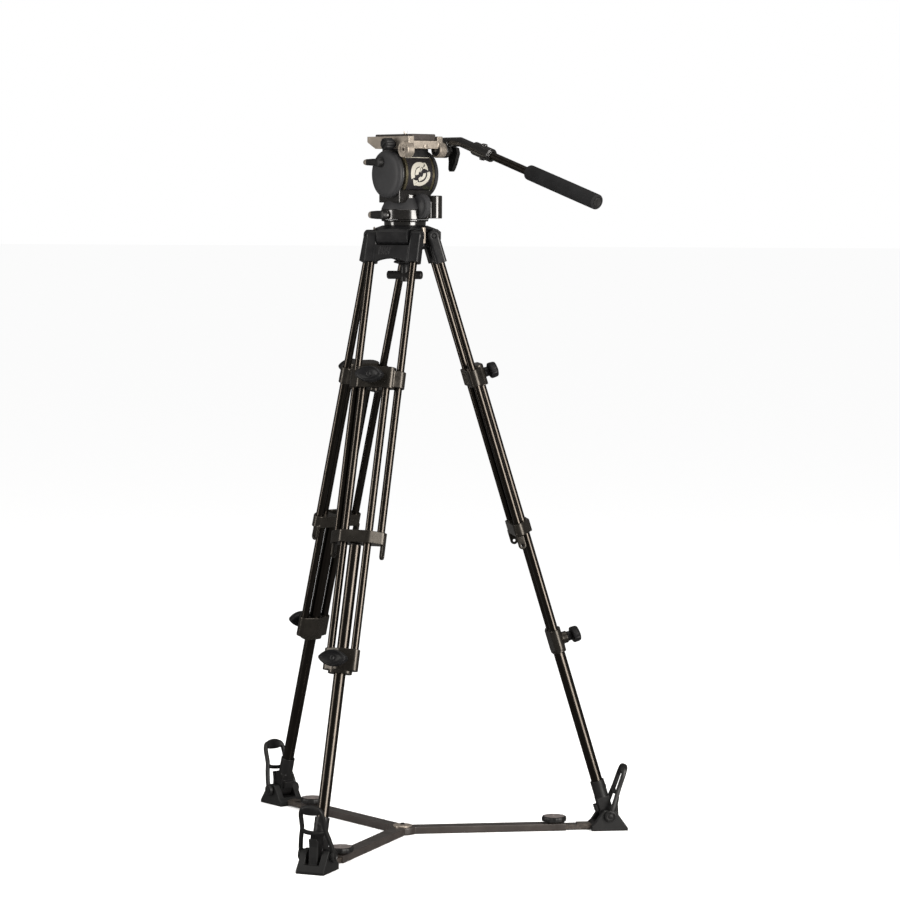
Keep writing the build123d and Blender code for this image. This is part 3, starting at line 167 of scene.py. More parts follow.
class NodeBench:
    """Short calls for putting shader nodes together."""

    def __init__(self, tree: bpy.types.NodeTree) -> None:
        """Clear the tree and place the shader and the output.

        Args:
            tree: the material's node tree.
        """
        self.tree = tree
        tree.nodes.clear()
        self.shader = tree.nodes.new("ShaderNodeBsdfPrincipled")
        self.output = tree.nodes.new("ShaderNodeOutputMaterial")
        tree.links.new(self.shader.outputs["BSDF"], self.output.inputs["Surface"])
        self.coords = tree.nodes.new("ShaderNodeTexCoord")

    def link(self, socket: Socket, name: str) -> None:
        """Join a socket to the named input of the shader."""
        self.tree.links.new(socket, self.shader.inputs[name])

    def node(self, kind: str, out: str | int, values: dict, links: dict, **settings: str) -> Socket:
        """Add one node.

        Args:
            kind: node type without its ShaderNode prefix.
            out: output to hand out.
            values: value of each plain input.
            links: socket that feeds each linked input.
            settings: properties of the node itself.

        Returns:
            The output socket.
        """
        node = self.tree.nodes.new(f"ShaderNode{kind}")
        for name, setting in settings.items():
            setattr(node, name, setting)
        for name, value in values.items():
            node.inputs[name].default_value = value
        for name, socket in links.items():
            self.tree.links.new(socket, node.inputs[name])
        return node.outputs[out]

    def noise(self, scale: float, detail: float, roughness: float) -> Socket:
        """Noise on object coordinates.

        Args:
            scale: cycles per metre.
            detail: octaves.
            roughness: weight of the finer octaves.

        Returns:
            The noise's value socket.
        """
        return self.node("TexNoise", "Fac", {"Scale": scale, "Detail": detail, "Roughness": roughness},
                         {"Vector": self.coords.outputs["Object"]})

    def streaks(self, across: float, along: float) -> Socket:
        """Noise drawn out along a tube, on its own UV map.

        Args:
            across: cycles round the tube.
            along: cycles per metre along it.

        Returns:
            The noise's value socket.
        """
        mapped = self.node("Mapping", "Vector", {"Scale": (across, along, 1.0)},
                           {"Vector": self.coords.outputs["UV"]})
        return self.node("TexNoise", "Fac", {"Scale": 1.0, "Detail": 4.0}, {"Vector": mapped})

    def cells(self, scale: float) -> Socket:
        """Rounded cells of foam.

        Args:
            scale: cells per metre.

        Returns:
            The distance socket of the cells.
        """
        return self.node("TexVoronoi", "Distance", {"Scale": scale},
                         {"Vector": self.coords.outputs["Object"]}, feature="SMOOTH_F1")

    def pointiness(self) -> Socket:
        """Convexity of the surface, half on flats."""
        return self.node("NewGeometry", "Pointiness", {}, {})

    def remap(self, value: Socket, low: float, high: float, to_low: float,
              to_high: float) -> Socket:
        """Clamped linear remap of a value.

        Args:
            value: input socket.
            low: input at the low end.
            high: input at the high end.
            to_low: output at the low end.
            to_high: output at the high end.

        Returns:
            The remapped socket.
        """
        ends = {"From Min": low, "From Max": high, "To Min": to_low, "To Max": to_high}
        return self.node("MapRange", "Result", ends, {"Value": value})

    def multiply(self, first: Socket, second: Socket) -> Socket:
        """Product of two values."""
        return self.node("Math", "Value", {}, {0: first, 1: second}, operation="MULTIPLY")

    def ramp(self, value: Socket, low: float, high: float, dark: tuple[float, ...],
             light: tuple[float, ...]) -> Socket:
        """Two-colour ramp.

        Args:
            value: driving socket.
            low: place of the dark colour.
            high: place of the light colour.
            dark: first colour.
            light: second colour.

        Returns:
            The colour socket.
        """
        node = self.tree.nodes.new("ShaderNodeValToRGB")
        first, second = node.color_ramp.elements
        first.position, first.color = low, (*dark, 1.0)
        second.position, second.color = high, (*light, 1.0)
        self.tree.links.new(value, node.inputs["Fac"])
        return node.outputs["Color"]

    def mix(self, mask: Socket, under: Socket,
            over: tuple[float, ...]) -> Socket:
        """Lay a plain colour over another by a mask.

        Args:
            mask: how much of the second colour shows.
            under: first colour socket.
            over: second colour.

        Returns:
            The colour socket.
        """
        return self.node("Mix", 2, {7: (*over, 1.0)}, {"Factor": mask, 6: under}, data_type="RGBA")

    def bump(self, height: Socket, depth: float) -> None:
        """Put a relief of that depth in metres on the shader's normal."""
        normal = self.node("Bump", "Normal", {"Strength": 0.6, "Distance": depth}, {"Height": height})
        self.link(normal, "Normal")


TUBE_BLACK = Finish("tube_anodised", (0.048, 0.042, 0.036), 1.0, 0.23, 0.03, 0.12, Grain.DRAWN, 0.0000006)
CASTING = Finish("satin_casting", (0.0065, 0.0065, 0.007), 0.0, 0.36, 0.07, 0.2, Grain.CAST, 0.00004, 0.0,
                 0.3, (0.06, 0.06, 0.06), 0.26)
CLAMP = Finish("clamp_satin", (0.040, 0.036, 0.031), 0.85, 0.30, 0.06, 0.12, Grain.MOULDED, 0.00002, 0.0,
               0.25, (0.12, 0.11, 0.10))
MOULDING = Finish("black_moulding", (0.0062, 0.006, 0.006), 0.0, 0.42, 0.08, 0.2, Grain.MOULDED, 0.00004,
                  0.0, 0.25, (0.05, 0.05, 0.05), 0.24)
KNOB = Finish("knob_moulding", (0.0055, 0.0055, 0.006), 0.0, 0.42, 0.08, 0.2, Grain.MOULDED, 0.00005, 0.0,
              0.2, (0.045, 0.045, 0.045), 0.22)
GLOSS = Finish("gloss_black", (0.006, 0.0055, 0.005), 0.0, 0.16, 0.04, 0.2, Grain.BLASTED, 0.000005,
               specular=0.9)
COVER = Finish("cover_satin", (0.020, 0.020, 0.021), 0.0, 0.46, 0.06, 0.10, Grain.MOULDED, 0.00003, 0.0,
               0.15, (0.08, 0.08, 0.08), 0.2)
CHAMPAGNE = Finish("champagne_blasted", (0.33, 0.29, 0.245), 0.8, 0.38, 0.06, 0.06, Grain.BLASTED, 0.00003)
RUBBER = Finish("boot_rubber", (0.007, 0.007, 0.007), 0.0, 0.50, 0.10, 0.25, Grain.RUBBER, 0.00008, 0.0, 0.2,
                (0.05, 0.05, 0.05), 0.24)
FOAM = Finish("grip_foam", (0.009, 0.009, 0.0095), 0.0, 0.80, 0.06, 0.3, Grain.FOAM, 0.00012, specular=0.12)
STEEL = Finish("bright_steel", (0.60, 0.57, 0.53), 1.0, 0.26, 0.08, 0.08, Grain.BLASTED, 0.00001)
BRONZE = Finish("arm_anodised", (0.036, 0.030, 0.027), 0.3, 0.36, 0.07, 0.2, Grain.BLASTED, 0.00002, 0.0,
                0.3, (0.16, 0.13, 0.10))
CAP_BEIGE = Finish("hub_cap", (0.46, 0.40, 0.34), 0.8, 0.34, 0.08, 0.08, Grain.BLASTED, 0.00002)
DISC_TOP = Finish("knob_disc_top", (0.17, 0.145, 0.138), 0.4, 0.44, 0.07, 0.12, Grain.MOULDED, 0.00004)
BRASS = Finish("edge_brass", (0.16, 0.14, 0.09), 0.9, 0.30, 0.08, 0.12, Grain.BLASTED, 0.00001)
LABEL = Finish("label_film", (0.010, 0.009, 0.010), 0.0, 0.30, 0.05, 0.15, Grain.BLASTED, 0.00001,
               specular=0.35)
PRINT = Finish("label_print", (0.30, 0.285, 0.245), 0.0, 0.40, 0.05, 0.05, Grain.BLASTED, 0.00001)
LIQUID = Finish("level_liquid", (0.45, 0.62, 0.10), 0.0, 0.08, 0.03, 0.1, Grain.BLASTED, 0.00001, coat=1.0)

SLOT_FINISH = {"black_anodised": TUBE_BLACK, "dark_casting": CASTING, "clamp_plastic": CLAMP,
               "knob_black": KNOB, "cover_grey": COVER, "champagne": CHAMPAGNE, "rubber_black": RUBBER,
               "foam_black": FOAM, "steel": STEEL, "bronze_arm": BRONZE}


# ---------------------------------------------------------------- mesh making
@dataclass
class Patch:
    """A grid of points, rows by columns, with its own UV map."""

    points: Array
    uv: Array | None = None

    def faces(self, first: int) -> Array:
        """Quads of the grid as indices counted from first.

        Args:
            first: index of the first point.

        Returns:
            (n, 4) point indices.
        """
        rows, cols = self.points.shape[:2]
        index = np.arange(rows * cols).reshape(rows, cols) + first
        return np.stack([index[:-1, :-1], index[:-1, 1:], index[1:, 1:], index[1:, :-1]],
                        axis=-1).reshape(-1, 4)

    def uv_points(self) -> Array:
        """UV of each point; rows and columns from nought to one where none is given.

        Returns:
            (n, 2) rows.
        """
        if self.uv is not None:
            return self.uv.reshape(-1, 2)
        rows, cols = self.points.shape[:2]
        across, along = np.meshgrid(np.linspace(0, 1, cols), np.linspace(0, 1, rows))
        return np.stack([across, along], axis=-1).reshape(-1, 2)


@dataclass
class Axes:
    """A local frame: an origin and three directions."""

    origin: Array
    x: Array
    y: Array
    z: Array

    def place(self, local: Array) -> Array:
        """Local points (..., 3) in the row frame: origin + x*X + y*Y + z*Z."""
        return self.origin + local[..., :1] * self.x + local[..., 1:2] * self.y + local[..., 2:] * self.z

    def moved(self, x: float = 0.0, y: float = 0.0, z: float = 0.0) -> "Axes":
        """The same directions from an origin moved in the local frame."""
        return Axes(self.place(np.array([x, y, z])), self.x, self.y, self.z)


def square(origin: Array) -> Axes:
    """Frame with the row's own directions."""
    return Axes(np.asarray(origin, float), EAST, NORTH, UP)


def upright(x: float = 0.0, y: float = 0.0, z: float = 0.0) -> Axes:
    """Frame whose X points straight up, for pieces turned about the vertical."""
    return Axes(np.array([x, y, z]), UP, EAST, NORTH)


def sideways(origin: Array, side: float = 1.0) -> Axes:
    """Frame whose X points to one side and whose Z points up."""
    return axes_along(origin, np.array([side, 0.0, 0.0]), UP)


def axes_along(origin: Array, x: Array, z_hint: Array) -> Axes:
    """Frame with a given X and the Z nearest to a hint.

    Args:
        origin: origin in metres.
        x: first direction.
        z_hint: direction that Z leans to.

    Returns:
        The right-handed frame.
    """
    x = np.asarray(x, float) / np.linalg.norm(x)
    z = np.asarray(z_hint, float) - np.dot(z_hint, x) * x
    z = z / np.linalg.norm(z)
    return Axes(np.asarray(origin, float), x, np.cross(z, x), z)


def finish_mesh(mesh: bpy.types.Mesh, weld: float = 1e-6) -> None:
    """Weld seams and poles, turn faces outwards and shade by angle.

    Args:
        mesh: mesh to close.
        weld: distance in metres within which points are one.
    """
    work = bmesh.new()
    work.from_mesh(mesh)
    bmesh.ops.remove_doubles(work, verts=work.verts, dist=weld)
    bmesh.ops.dissolve_degenerate(work, edges=work.edges, dist=weld)
    bmesh.ops.recalc_face_normals(work, faces=work.faces)
    for edge in work.edges:
        edge.smooth = len(edge.link_faces) != 2 or edge.calc_face_angle(0.0) < SHARP
    for face in work.faces:
        face.smooth = True
    work.to_mesh(mesh)
    work.free()


def make_object(name: str, patches: list[Patch], finish: Finish) -> bpy.types.Object:
    """Put patches into one welded mesh object.

    Args:
        name: object name.
        patches: grids that together close the surface.
        finish: material to give it.

    Returns:
        The new object at the origin.
    """
    points, faces, uvs, start = [], [], [], 0
    for patch in patches:
        points.append(patch.points.reshape(-1, 3))
        faces.append(patch.faces(start))
        uvs.append(patch.uv_points())
        start += len(points[-1])
    mesh = bpy.data.meshes.new(name)
    mesh.from_pydata(np.concatenate(points).tolist(), [], np.concatenate(faces).tolist())
    corner = np.zeros(len(mesh.loops), np.int32)
    mesh.loops.foreach_get("vertex_index", corner)
    layer = mesh.uv_layers.new(name="UVMap")
    layer.data.foreach_set("uv", np.concatenate(uvs)[corner].astype(np.float32).ravel())
    finish_mesh(mesh)
    made = bpy.data.objects.new(name, mesh)
    bpy.context.scene.collection.objects.link(made)
    mesh.materials.append(finish.material())
    return made


def dress(piece: bpy.types.Object, body: str, slot: str, *nodes: str) -> bpy.types.Object:
    """Ride a piece on its body and hide the CAD nodes it stands for.

    Args:
        piece: the finished piece.
        body: CAD body it rides on.
        slot: material slot of the record; not used.
        nodes: CAD nodes it replaces.

    Returns:
        The same piece.
    """
    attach(piece, body)
    if nodes:
        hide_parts(*nodes)
    LOG.info("%s rides on %s", piece.name, body)
    return piece


def fit(name: str, patches: list[Patch], finish: Finish, body: str, slot: str,
        *nodes: str) -> bpy.types.Object:
    """Make a piece from patches and dress it in one go."""
    return dress(make_object(name, patches, finish), body, slot, *nodes)


def turned_patch(axes: Axes, profile: Array, steps: int = 48) -> Patch:
    """Surface of revolution about the frame's X axis.

    Point = origin + d*X + r*cos(t)*Y + r*sin(t)*Z for each (d, r) of the profile and t over a full turn.

    Args:
        axes: frame of the piece.
        profile: (k, 2) depths along X and radii, in metres.
        steps: points round the turn.

    Returns:
        The patch, closed after welding if its ends have no radius.
    """
    turn = np.linspace(0.0, 2.0 * math.pi, steps + 1)
    depth, radius = profile[:, 0:1], profile[:, 1:2]
    local = np.stack([depth + 0.0 * turn, radius * np.cos(turn), radius * np.sin(turn)], axis=-1)
    run = np.concatenate([[0.0], np.cumsum(np.hypot(*np.diff(profile, axis=0).T))])
    across, along = np.meshgrid(turn / (2.0 * math.pi), run)
    return Patch(axes.place(local), np.stack([across, along], axis=-1))


def outline_patch(axes: Axes, outline: Array, rings: Array) -> Patch:
    """Stack of rings that share an outline.

    Ring = origin + d*X + (1-m)*r*(cos, sin) + m*s*outline, for each (d, r, m, s): a circle of radius r
    where m is nought, the outline scaled by s where m is one.

    Args:
        axes: frame of the piece.
        outline: (n, 2) closed outline across Y and Z, metres.
        rings: (k, 4) rows of depth, circle radius, blend and outline scale.

    Returns:
        The patch.
    """
    outline = closed(outline)
    angle = np.arctan2(outline[:, 1], outline[:, 0])
    circle = np.stack([np.cos(angle), np.sin(angle)], axis=-1)
    depth, radius, blend, scale = (rings[:, i][:, None, None] for i in range(4))
    flat = (1.0 - blend) * radius * circle + blend * scale * outline
    deep = np.broadcast_to(depth, flat.shape[:2] + (1,))
    return Patch(axes.place(np.concatenate([deep, flat], axis=-1)))


def swept_patch(path: Array, across: Array, profile: Array) -> Patch:
    """Closed outline carried along a path.

    Point = path + a*N + b*(T x N), with T the path's direction and N the given direction made square to it.

    Args:
        path: (n, 3) points in metres.
        across: (3,) cross direction.
        profile: (m, 2) closed outline, metres.

    Returns:
        The patch, open at both ends.
    """
    tangent = np.gradient(path, axis=0)
    tangent /= np.linalg.norm(tangent, axis=1, keepdims=True)
    normal = across - np.sum(across * tangent, axis=1, keepdims=True) * tangent
    normal /= np.linalg.norm(normal, axis=1, keepdims=True)
    other = np.cross(tangent, normal)
    ring = closed(profile)
    return Patch(path[:, None] + ring[None, :, :1] * normal[:, None] + ring[None, :, 1:] * other[:, None])


def capped(patch: Patch) -> Patch:
    """Close both ends of a swept patch by drawing them to their middles.

    Args:
        patch: rings along a path, each closed.

    Returns:
        The patch with a closed end at each side.
    """
    first = np.broadcast_to(patch.points[0, :-1].mean(axis=0), patch.points[:1].shape)
    last = np.broadcast_to(patch.points[-1, :-1].mean(axis=0), patch.points[:1].shape)
    return Patch(np.concatenate([first, patch.points, last]))


def superellipse(half_x: float, half_y: float, power: float, steps: int = 24) -> Array:
    """Closed outline |x/a|^n + |y/b|^n = 1, as (x, y) rows.

    Args:
        half_x: half size a.
        half_y: half size b.
        power: exponent n, squarer as it grows.
        steps: points round the outline.

    Returns:
        (steps, 2) rows.
    """
    turn = np.linspace(0, 2 * math.pi, steps, endpoint=False)
    cos, sin = np.cos(turn), np.sin(turn)
    return np.stack([half_x * np.sign(cos) * np.abs(cos) ** (2 / power),
                     half_y * np.sign(sin) * np.abs(sin) ** (2 / power)], axis=-1)


def rounded_path(corners: Array, count: int, passes: int) -> Array:
    """Even points along a broken line, each pass averaging every point with its neighbours.

    Args:
        corners: (n, k) corners of the line.
        count: points to return.
        passes: rounds of averaging, the more the rounder.

    Returns:
        The (count, k) points, ends kept.
    """
    run = np.concatenate([[0.0], np.cumsum(np.linalg.norm(np.diff(corners, axis=0), axis=1))])
    even = np.linspace(0.0, run[-1], count)
    points = np.stack([np.interp(even, run, corners[:, axis]) for axis in range(corners.shape[1])], axis=-1)
    for _ in range(passes):
        points[1:-1] = 0.25 * points[:-2] + 0.5 * points[1:-1] + 0.25 * points[2:]
    return points


def local_points(node: str, axes: Axes) -> Array:
    """Points of a CAD node in a local frame.

    Args:
        node: CAD node.
        axes: the local frame.

    Returns:
        (n, 3) rows.
    """
    mesh = frame["nodes"][node].data
    points = np.zeros(len(mesh.vertices) * 3)
    mesh.vertices.foreach_get("co", points)
    away = points.reshape(-1, 3) - axes.origin
    return np.stack([away @ axes.x, away @ axes.y, away @ axes.z], axis=-1)


def spans(node: str, axes: Axes) -> tuple[Array, Array]:
    """Lowest and highest coordinates of a CAD node in a local frame."""
    local = local_points(node, axes)
    return local.min(axis=0), local.max(axis=0)


def wheel(radius: Array, turn: Array) -> Array:
    """Outline r(t) (cos t, sin t) of a wheel whose radius changes round the turn."""
    return np.stack([radius * np.cos(turn), radius * np.sin(turn)], axis=-1)


def closed(outline: Array) -> Array:
    """The outline with its first point again at the end."""
    return np.vstack([outline, outline[:1]])


def rings_mm(*rows: tuple[float, ...]) -> Array:
    """Rings for outline_patch, with depth and circle radius given in millimetres."""
    return np.array(rows, float) * (MM, MM, 1.0, 1.0)


def mm(*rows: tuple[float, ...]) -> Array:
    """Rows of millimetres as an array of metres."""
    return np.array(rows, float) * MM


# ---------------------------------------------------------------- softened castings
@dataclass
class Casting:
    """A CAD node with its edges rounded as moulds and castings leave them."""

    node: str
    voxel: float = 0.8
    rounds: int = 3
    faces: int = 26000

    def build(self, finish: Finish) -> bpy.types.Object:
        """Remesh a welded copy of the node, relax its edges and thin it.

        Args:
            finish: material of the piece.

        Returns:
            The new piece, in the node's place.
        """
        source = frame["nodes"][self.node]
        mesh = source.data.copy()
        mesh.materials.clear()
        work = bmesh.new()
        work.from_mesh(mesh)
        bmesh.ops.remove_doubles(work, verts=work.verts, dist=1e-6)
        work.to_mesh(mesh)
        work.free()
        made = bpy.data.objects.new(f"soft_{self.node}", mesh)
        bpy.context.scene.collection.objects.link(made)
        remesh = made.modifiers.new("remesh", "REMESH")
        remesh.mode = "VOXEL"
        remesh.voxel_size = self.voxel * MM
        relax = made.modifiers.new("relax", "SMOOTH")
        relax.factor = 0.5
        relax.iterations = self.rounds
        thin = made.modifiers.new("thin", "DECIMATE")
        bpy.context.view_layer.update()
        graph = bpy.context.evaluated_depsgraph_get()
        thin.show_viewport = False
        graph.update()
        dense = made.evaluated_get(graph)
        count = len(dense.data.polygons)
        thin.show_viewport = True
        thin.ratio = min(1.0, self.faces / max(1.0, 2.0 * count))
        graph.update()
        final = bpy.data.meshes.new_from_object(made.evaluated_get(graph))
        made.modifiers.clear()
        made.data = final
        final.materials.clear()
        final.materials.append(finish.material())
        final.shade_smooth()
        return made

    def dressed(self, finish: Finish) -> bpy.types.Object:
        """Build the piece and put it in the node's place."""
        return dress(self.build(finish), BODY_OF[self.node], SLOT_OF[self.node], self.node)


def repeat_round(source: bpy.types.Object, node: str, number: int) -> bpy.types.Object:
    """Copy a piece of leg 1 to another leg by turning its points about the tripod axis.

    Args:
        source: finished piece of leg 1.
        node: CAD node of the other leg.
        number: the other leg's number.

    Returns:
        The copy, riding on its own body.
    """
    mesh = source.data.copy()
    mesh.transform(Matrix.Rotation(math.radians(120.0 * (number - 1)), 4, "Z"))
    made = bpy.data.objects.new(source.name[:-1] + str(number), mesh)
    bpy.context.scene.collection.objects.link(made)
    return dress(made, BODY_OF[node], SLOT_OF[node], node)


# ---------------------------------------------------------------- legs
@dataclass
class LegKit:
    """The three legs: tubes, castings and wing knobs."""

    castings: dict[str, tuple[float, Finish]] = field(default_factory=lambda: {
        "leg_yoke": (0.75, CASTING), "upper_bracket": (0.8, CLAMP), "middle_clamp": (0.75, CLAMP),
        "lower_clamp": (0.75, CLAMP), "ankle": (0.7, MOULDING), "foot_boot": (0.75, RUBBER)})
    knob_reach: float = 28.0
    knob_height: float = 14.5
    knob_back: float = -5.6
    tube_wall: float = 1.4

    def leg_axes(self, number: int) -> Axes:
        """Frame at a leg's hinge pin: X outwards, Z up the leg.

        Args:
            number: leg number.

        Returns:
            The frame.
        """
        hinge = np.array(JOINTS[f"leg_fold_{number}"]["pos_m"])
        down = np.array(JOINTS[f"middle_slide_{number}"]["axis"])
        out = np.array(JOINTS[f"middle_knob_turn_{number}"]["axis"])
        return axes_along(hinge, out, -down)

    def build(self) -> None:
        """Make every piece of the legs."""
        for name, (voxel, finish) in self.castings.items():
            first = Casting(f"{name}_1", voxel).dressed(finish)
            for number in LEGS[1:]:
                repeat_round(first, f"{name}_{number}", number)
        for number in LEGS:
            for name in ("upper_tubes", "middle_tubes", "lower_tube"):
                self.tubes(name, number)
            for name in ("middle", "lower"):
                self.knob(name, number)
                self.knob_screw(name, number)
            BailLatch(number).build()

    def tubes(self, name: str, number: int) -> None:
        """Glossy drawn tubes on the lines of their CAD node.

        Each tube is a profile of radius against depth turned about its own axis, rims rounded, bore open.

        Args:
            name: upper_tubes, middle_tubes or lower_tube.
            number: leg number.
        """
        axes = self.leg_axes(number)
        local = local_points(f"{name}_{number}", axes)
        sides = (-1, 1) if name != "lower_tube" else (0,)
        patches = []
        for side in sides:
            own = local[local[:, 1] * side > 0] if side else local
            low, high = own.min(axis=0), own.max(axis=0)
            middle = (low + high) / 2
            radius = (high[1] - low[1]) / 2
            run = Axes(axes.place(np.array([middle[0], middle[1], 0.0])), axes.z, axes.x, axes.y)
            patches.append(turned_patch(run, self.tube_profile(low[2], high[2], radius), 40))
        fit(f"{name}_skin_{number}", patches, TUBE_BLACK, BODY_OF[f"{name}_{number}"], "black_anodised",
            f"{name}_{number}")

    def tube_profile(self, low: float, high: float, radius: float) -> Array:
        """Closed outline of a tube wall with rounded rims, as (depth, radius).

        Args:
            low: depth of one end.
            high: depth of the other end.
            radius: outer radius.

        Returns:
            (7, 2) rows in metres.
        """
        rim = 0.4 * MM
        inner = radius - self.tube_wall * MM
        return np.array([[low, inner], [low, radius - rim], [low + rim, radius], [high - rim, radius],
                         [high, radius - rim], [high, inner], [low, inner]])

    def eye_outline(self, steps: int = 96) -> Array:
        """Eye shape of the wing knob: two arcs of one circle meeting in rounded, ribbed tips.

        y = a cos t; |z| = sqrt(R^2 - y^2) - (R - b), with R fitted to the half sizes a and b, and ripples
        near the tips.

        Args:
            steps: points round the outline.

        Returns:
            (steps, 2) rows in metres.
        """
        a, b = self.knob_reach * MM, self.knob_height * MM
        arc = (a * a + b * b) / (2 * b)
        turn = np.linspace(0, 2 * math.pi, steps, endpoint=False)
        y = 0.965 * a * np.cos(turn)
        z = np.sign(np.sin(turn)) * np.maximum(np.sqrt(arc ** 2 - y ** 2) - (arc - b), 0.0)
        z += 0.0009 * np.sin(turn) * (1 - np.abs(np.sin(turn)))
        ripple = 1.0 + 0.016 * np.cos(turn * 40) * np.clip((np.abs(np.cos(turn)) - 0.45) * 3, 0, 1)
        return np.stack([y * ripple, z * ripple], axis=-1)

    def knob_axes(self, name: str, number: int) -> Axes:
        """Frame of a wing knob: X along its screw, Z up the leg."""
        joint, slide = JOINTS[f"{name}_knob_turn_{number}"], JOINTS[f"middle_slide_{number}"]
        return axes_along(np.array(joint["pos_m"]), np.array(joint["axis"]), -np.array(slide["axis"]))

    def knob(self, name: str, number: int) -> None:
        """Wing knob with a dished face and a raised rim.

        Args:
            name: middle or lower.
            number: leg number.
        """
        axes = self.knob_axes(name, number)
        back = self.knob_back
        rings = rings_mm(
            (back, 0.0, 0, 0), (back, 8.4, 0, 0), (back + 0.6, 9.0, 0, 0), (back + 5.0, 8.6, 0, 0),
            (back + 6.6, 9.2, 0.0, 0), (back + 7.6, 12.0, 0.75, 0.80), (back + 8.6, 12.0, 1, 0.93),
            (back + 9.8, 12.0, 1, 0.985), (back + 12.0, 12.0, 1, 1.0), (back + 17.5, 12.0, 1, 0.985),
            (back + 20.0, 12.0, 1, 0.95), (back + 21.6, 12.0, 1, 0.90), (back + 22.0, 12.0, 1, 0.86),
            (back + 21.5, 12.0, 1, 0.81), (back + 20.2, 12.0, 1, 0.74), (back + 18.2, 12.0, 1, 0.60),
            (back + 16.9, 12.0, 1, 0.42), (back + 16.2, 12.0, 1, 0.22), (back + 16.0, 12.0, 1, 0.0))
        fit(f"{name}_wing_knob_{number}", [outline_patch(axes, self.eye_outline(), rings)], KNOB,
            f"{name}_knob_{number}", "knob_black", f"{name}_lock_knob_{number}")

    def knob_screw(self, name: str, number: int) -> None:
        """Dark domed cap in the middle of a wing knob.

        Args:
            name: middle or lower.
            number: leg number.
        """
        profile = mm((9.8, 0.0), (9.8, 4.6), (11.2, 4.9), (11.9, 4.4), (12.1, 3.4), (11.6, 2.6), (11.6, 0.0))
        fit(f"{name}_knob_cap_{number}", [turned_patch(self.knob_axes(name, number), profile, 32)], CASTING,
            f"{name}_knob_{number}", "knob_black")


@dataclass
class BailLatch:
    """Bail lever over one boot: a bent loop, a cross bar, a ribbed grip and two pivot discs."""

    number: int
    lean: float = 19.0
    length: float = 97.0
    foot: float = 29.6
    disc: float = 10.5

    def axes(self) -> Axes:
        """Frame at the pivot: X outwards, Y along the pivot, Z up the lever.

        Returns:
            The frame.
        """
        joint = JOINTS[f"latch_turn_{self.number}"]
        pivot = np.array(joint["pos_m"])
        away = np.array([pivot[0], pivot[1], 0.0])
        away /= np.linalg.norm(away)
        turn = math.radians(self.lean)
        up = math.cos(turn) * np.array([0, 0, 1.0]) + math.sin(turn) * away
        return axes_along(pivot, math.cos(turn) * away - math.sin(turn) * np.array([0, 0, 1.0]), up)

    def build(self) -> None:
        """Make the lever and put it on its body."""
        axes = self.axes()
        corners = np.array([(self.foot, 0), (self.foot + 0.5, 12), (25.5, 36), (21.0, 52), (20.5, 78),
                            (17.0, self.length - 7), (0, self.length - 5)], float)
        corners = np.vstack([corners, corners[-2::-1] * [-1, 1]])
        loop = rounded_path(corners, 90, 6) * MM
        loop = axes.place(np.concatenate([np.zeros((len(loop), 1)), loop], axis=-1))
        patches = [capped(swept_patch(loop, axes.x, superellipse(4.3, 3.5, 3.0) * MM))]
        bar = np.array([(23.0, 47.0), (14.0, 43.5), (0, 42.0), (-14.0, 43.5), (-23.0, 47.0)])
        bar = rounded_path(bar, 30, 2) * MM
        bar = axes.place(np.concatenate([np.zeros((len(bar), 1)), bar], axis=-1))
        patches.append(capped(swept_patch(bar, axes.x, superellipse(3.8, 3.4, 3.0) * MM)))
        patches.append(self.grip(axes))
        for side in (-1.0, 1.0):
            patches.append(self.disc_patch(axes, side))
        fit(f"bail_latch_{self.number}", patches, MOULDING, f"latch_{self.number}", "clamp_plastic",
            f"boot_latch_{self.number}")

    def grip(self, axes: Axes) -> Patch:
        """Thick ribbed grip across the top, its thickness rippling along its length.

        Half sizes a = 5.6 + 0.3 cos(k y), b = 9.4 - 0.012 y^2 carry a squared round outline.

        Args:
            axes: frame of the lever.

        Returns:
            The closed patch.
        """
        run = np.linspace(-18.0, 18.0, 61)
        shape = closed(superellipse(1.0, 1.0, 3.4, 40))
        close = np.sqrt(np.clip(1.0 - (np.abs(run) / 18.4) ** 6, 0.0, 1.0))
        half_x = (5.6 + 0.3 * np.cos(run * 2.6)) * close
        half_z = (9.4 - 0.012 * run ** 2) * close
        along = np.broadcast_to(run[:, None], (len(run), len(shape)))
        high = half_z[:, None] * shape[None, :, 1] + self.length - 9.6 - 0.006 * run[:, None] ** 2
        local = np.stack([half_x[:, None] * shape[None, :, 0], along, high], axis=-1)
        return capped(Patch(axes.place(local * MM)))

    def disc_patch(self, axes: Axes, side: float) -> Patch:
        """Round pivot disc with a raised rim and a boss.

        Args:
            axes: frame of the lever.
            side: 1.0 or -1.0 along the pivot.

        Returns:
            The turned patch.
        """
        turn = axes_along(axes.origin, side * axes.y, axes.z)
        r = self.disc
        profile = mm((27.0, 0), (27.0, r - 1.5), (28.0, r - 0.4), (31.5, r), (33.0, r - 0.6),
                     (33.6, r - 2.2), (32.4, r - 3.4), (32.2, 4.6), (33.8, 4.0), (34.2, 2.6), (34.2, 0))
        return turned_patch(turn, profile, 40)


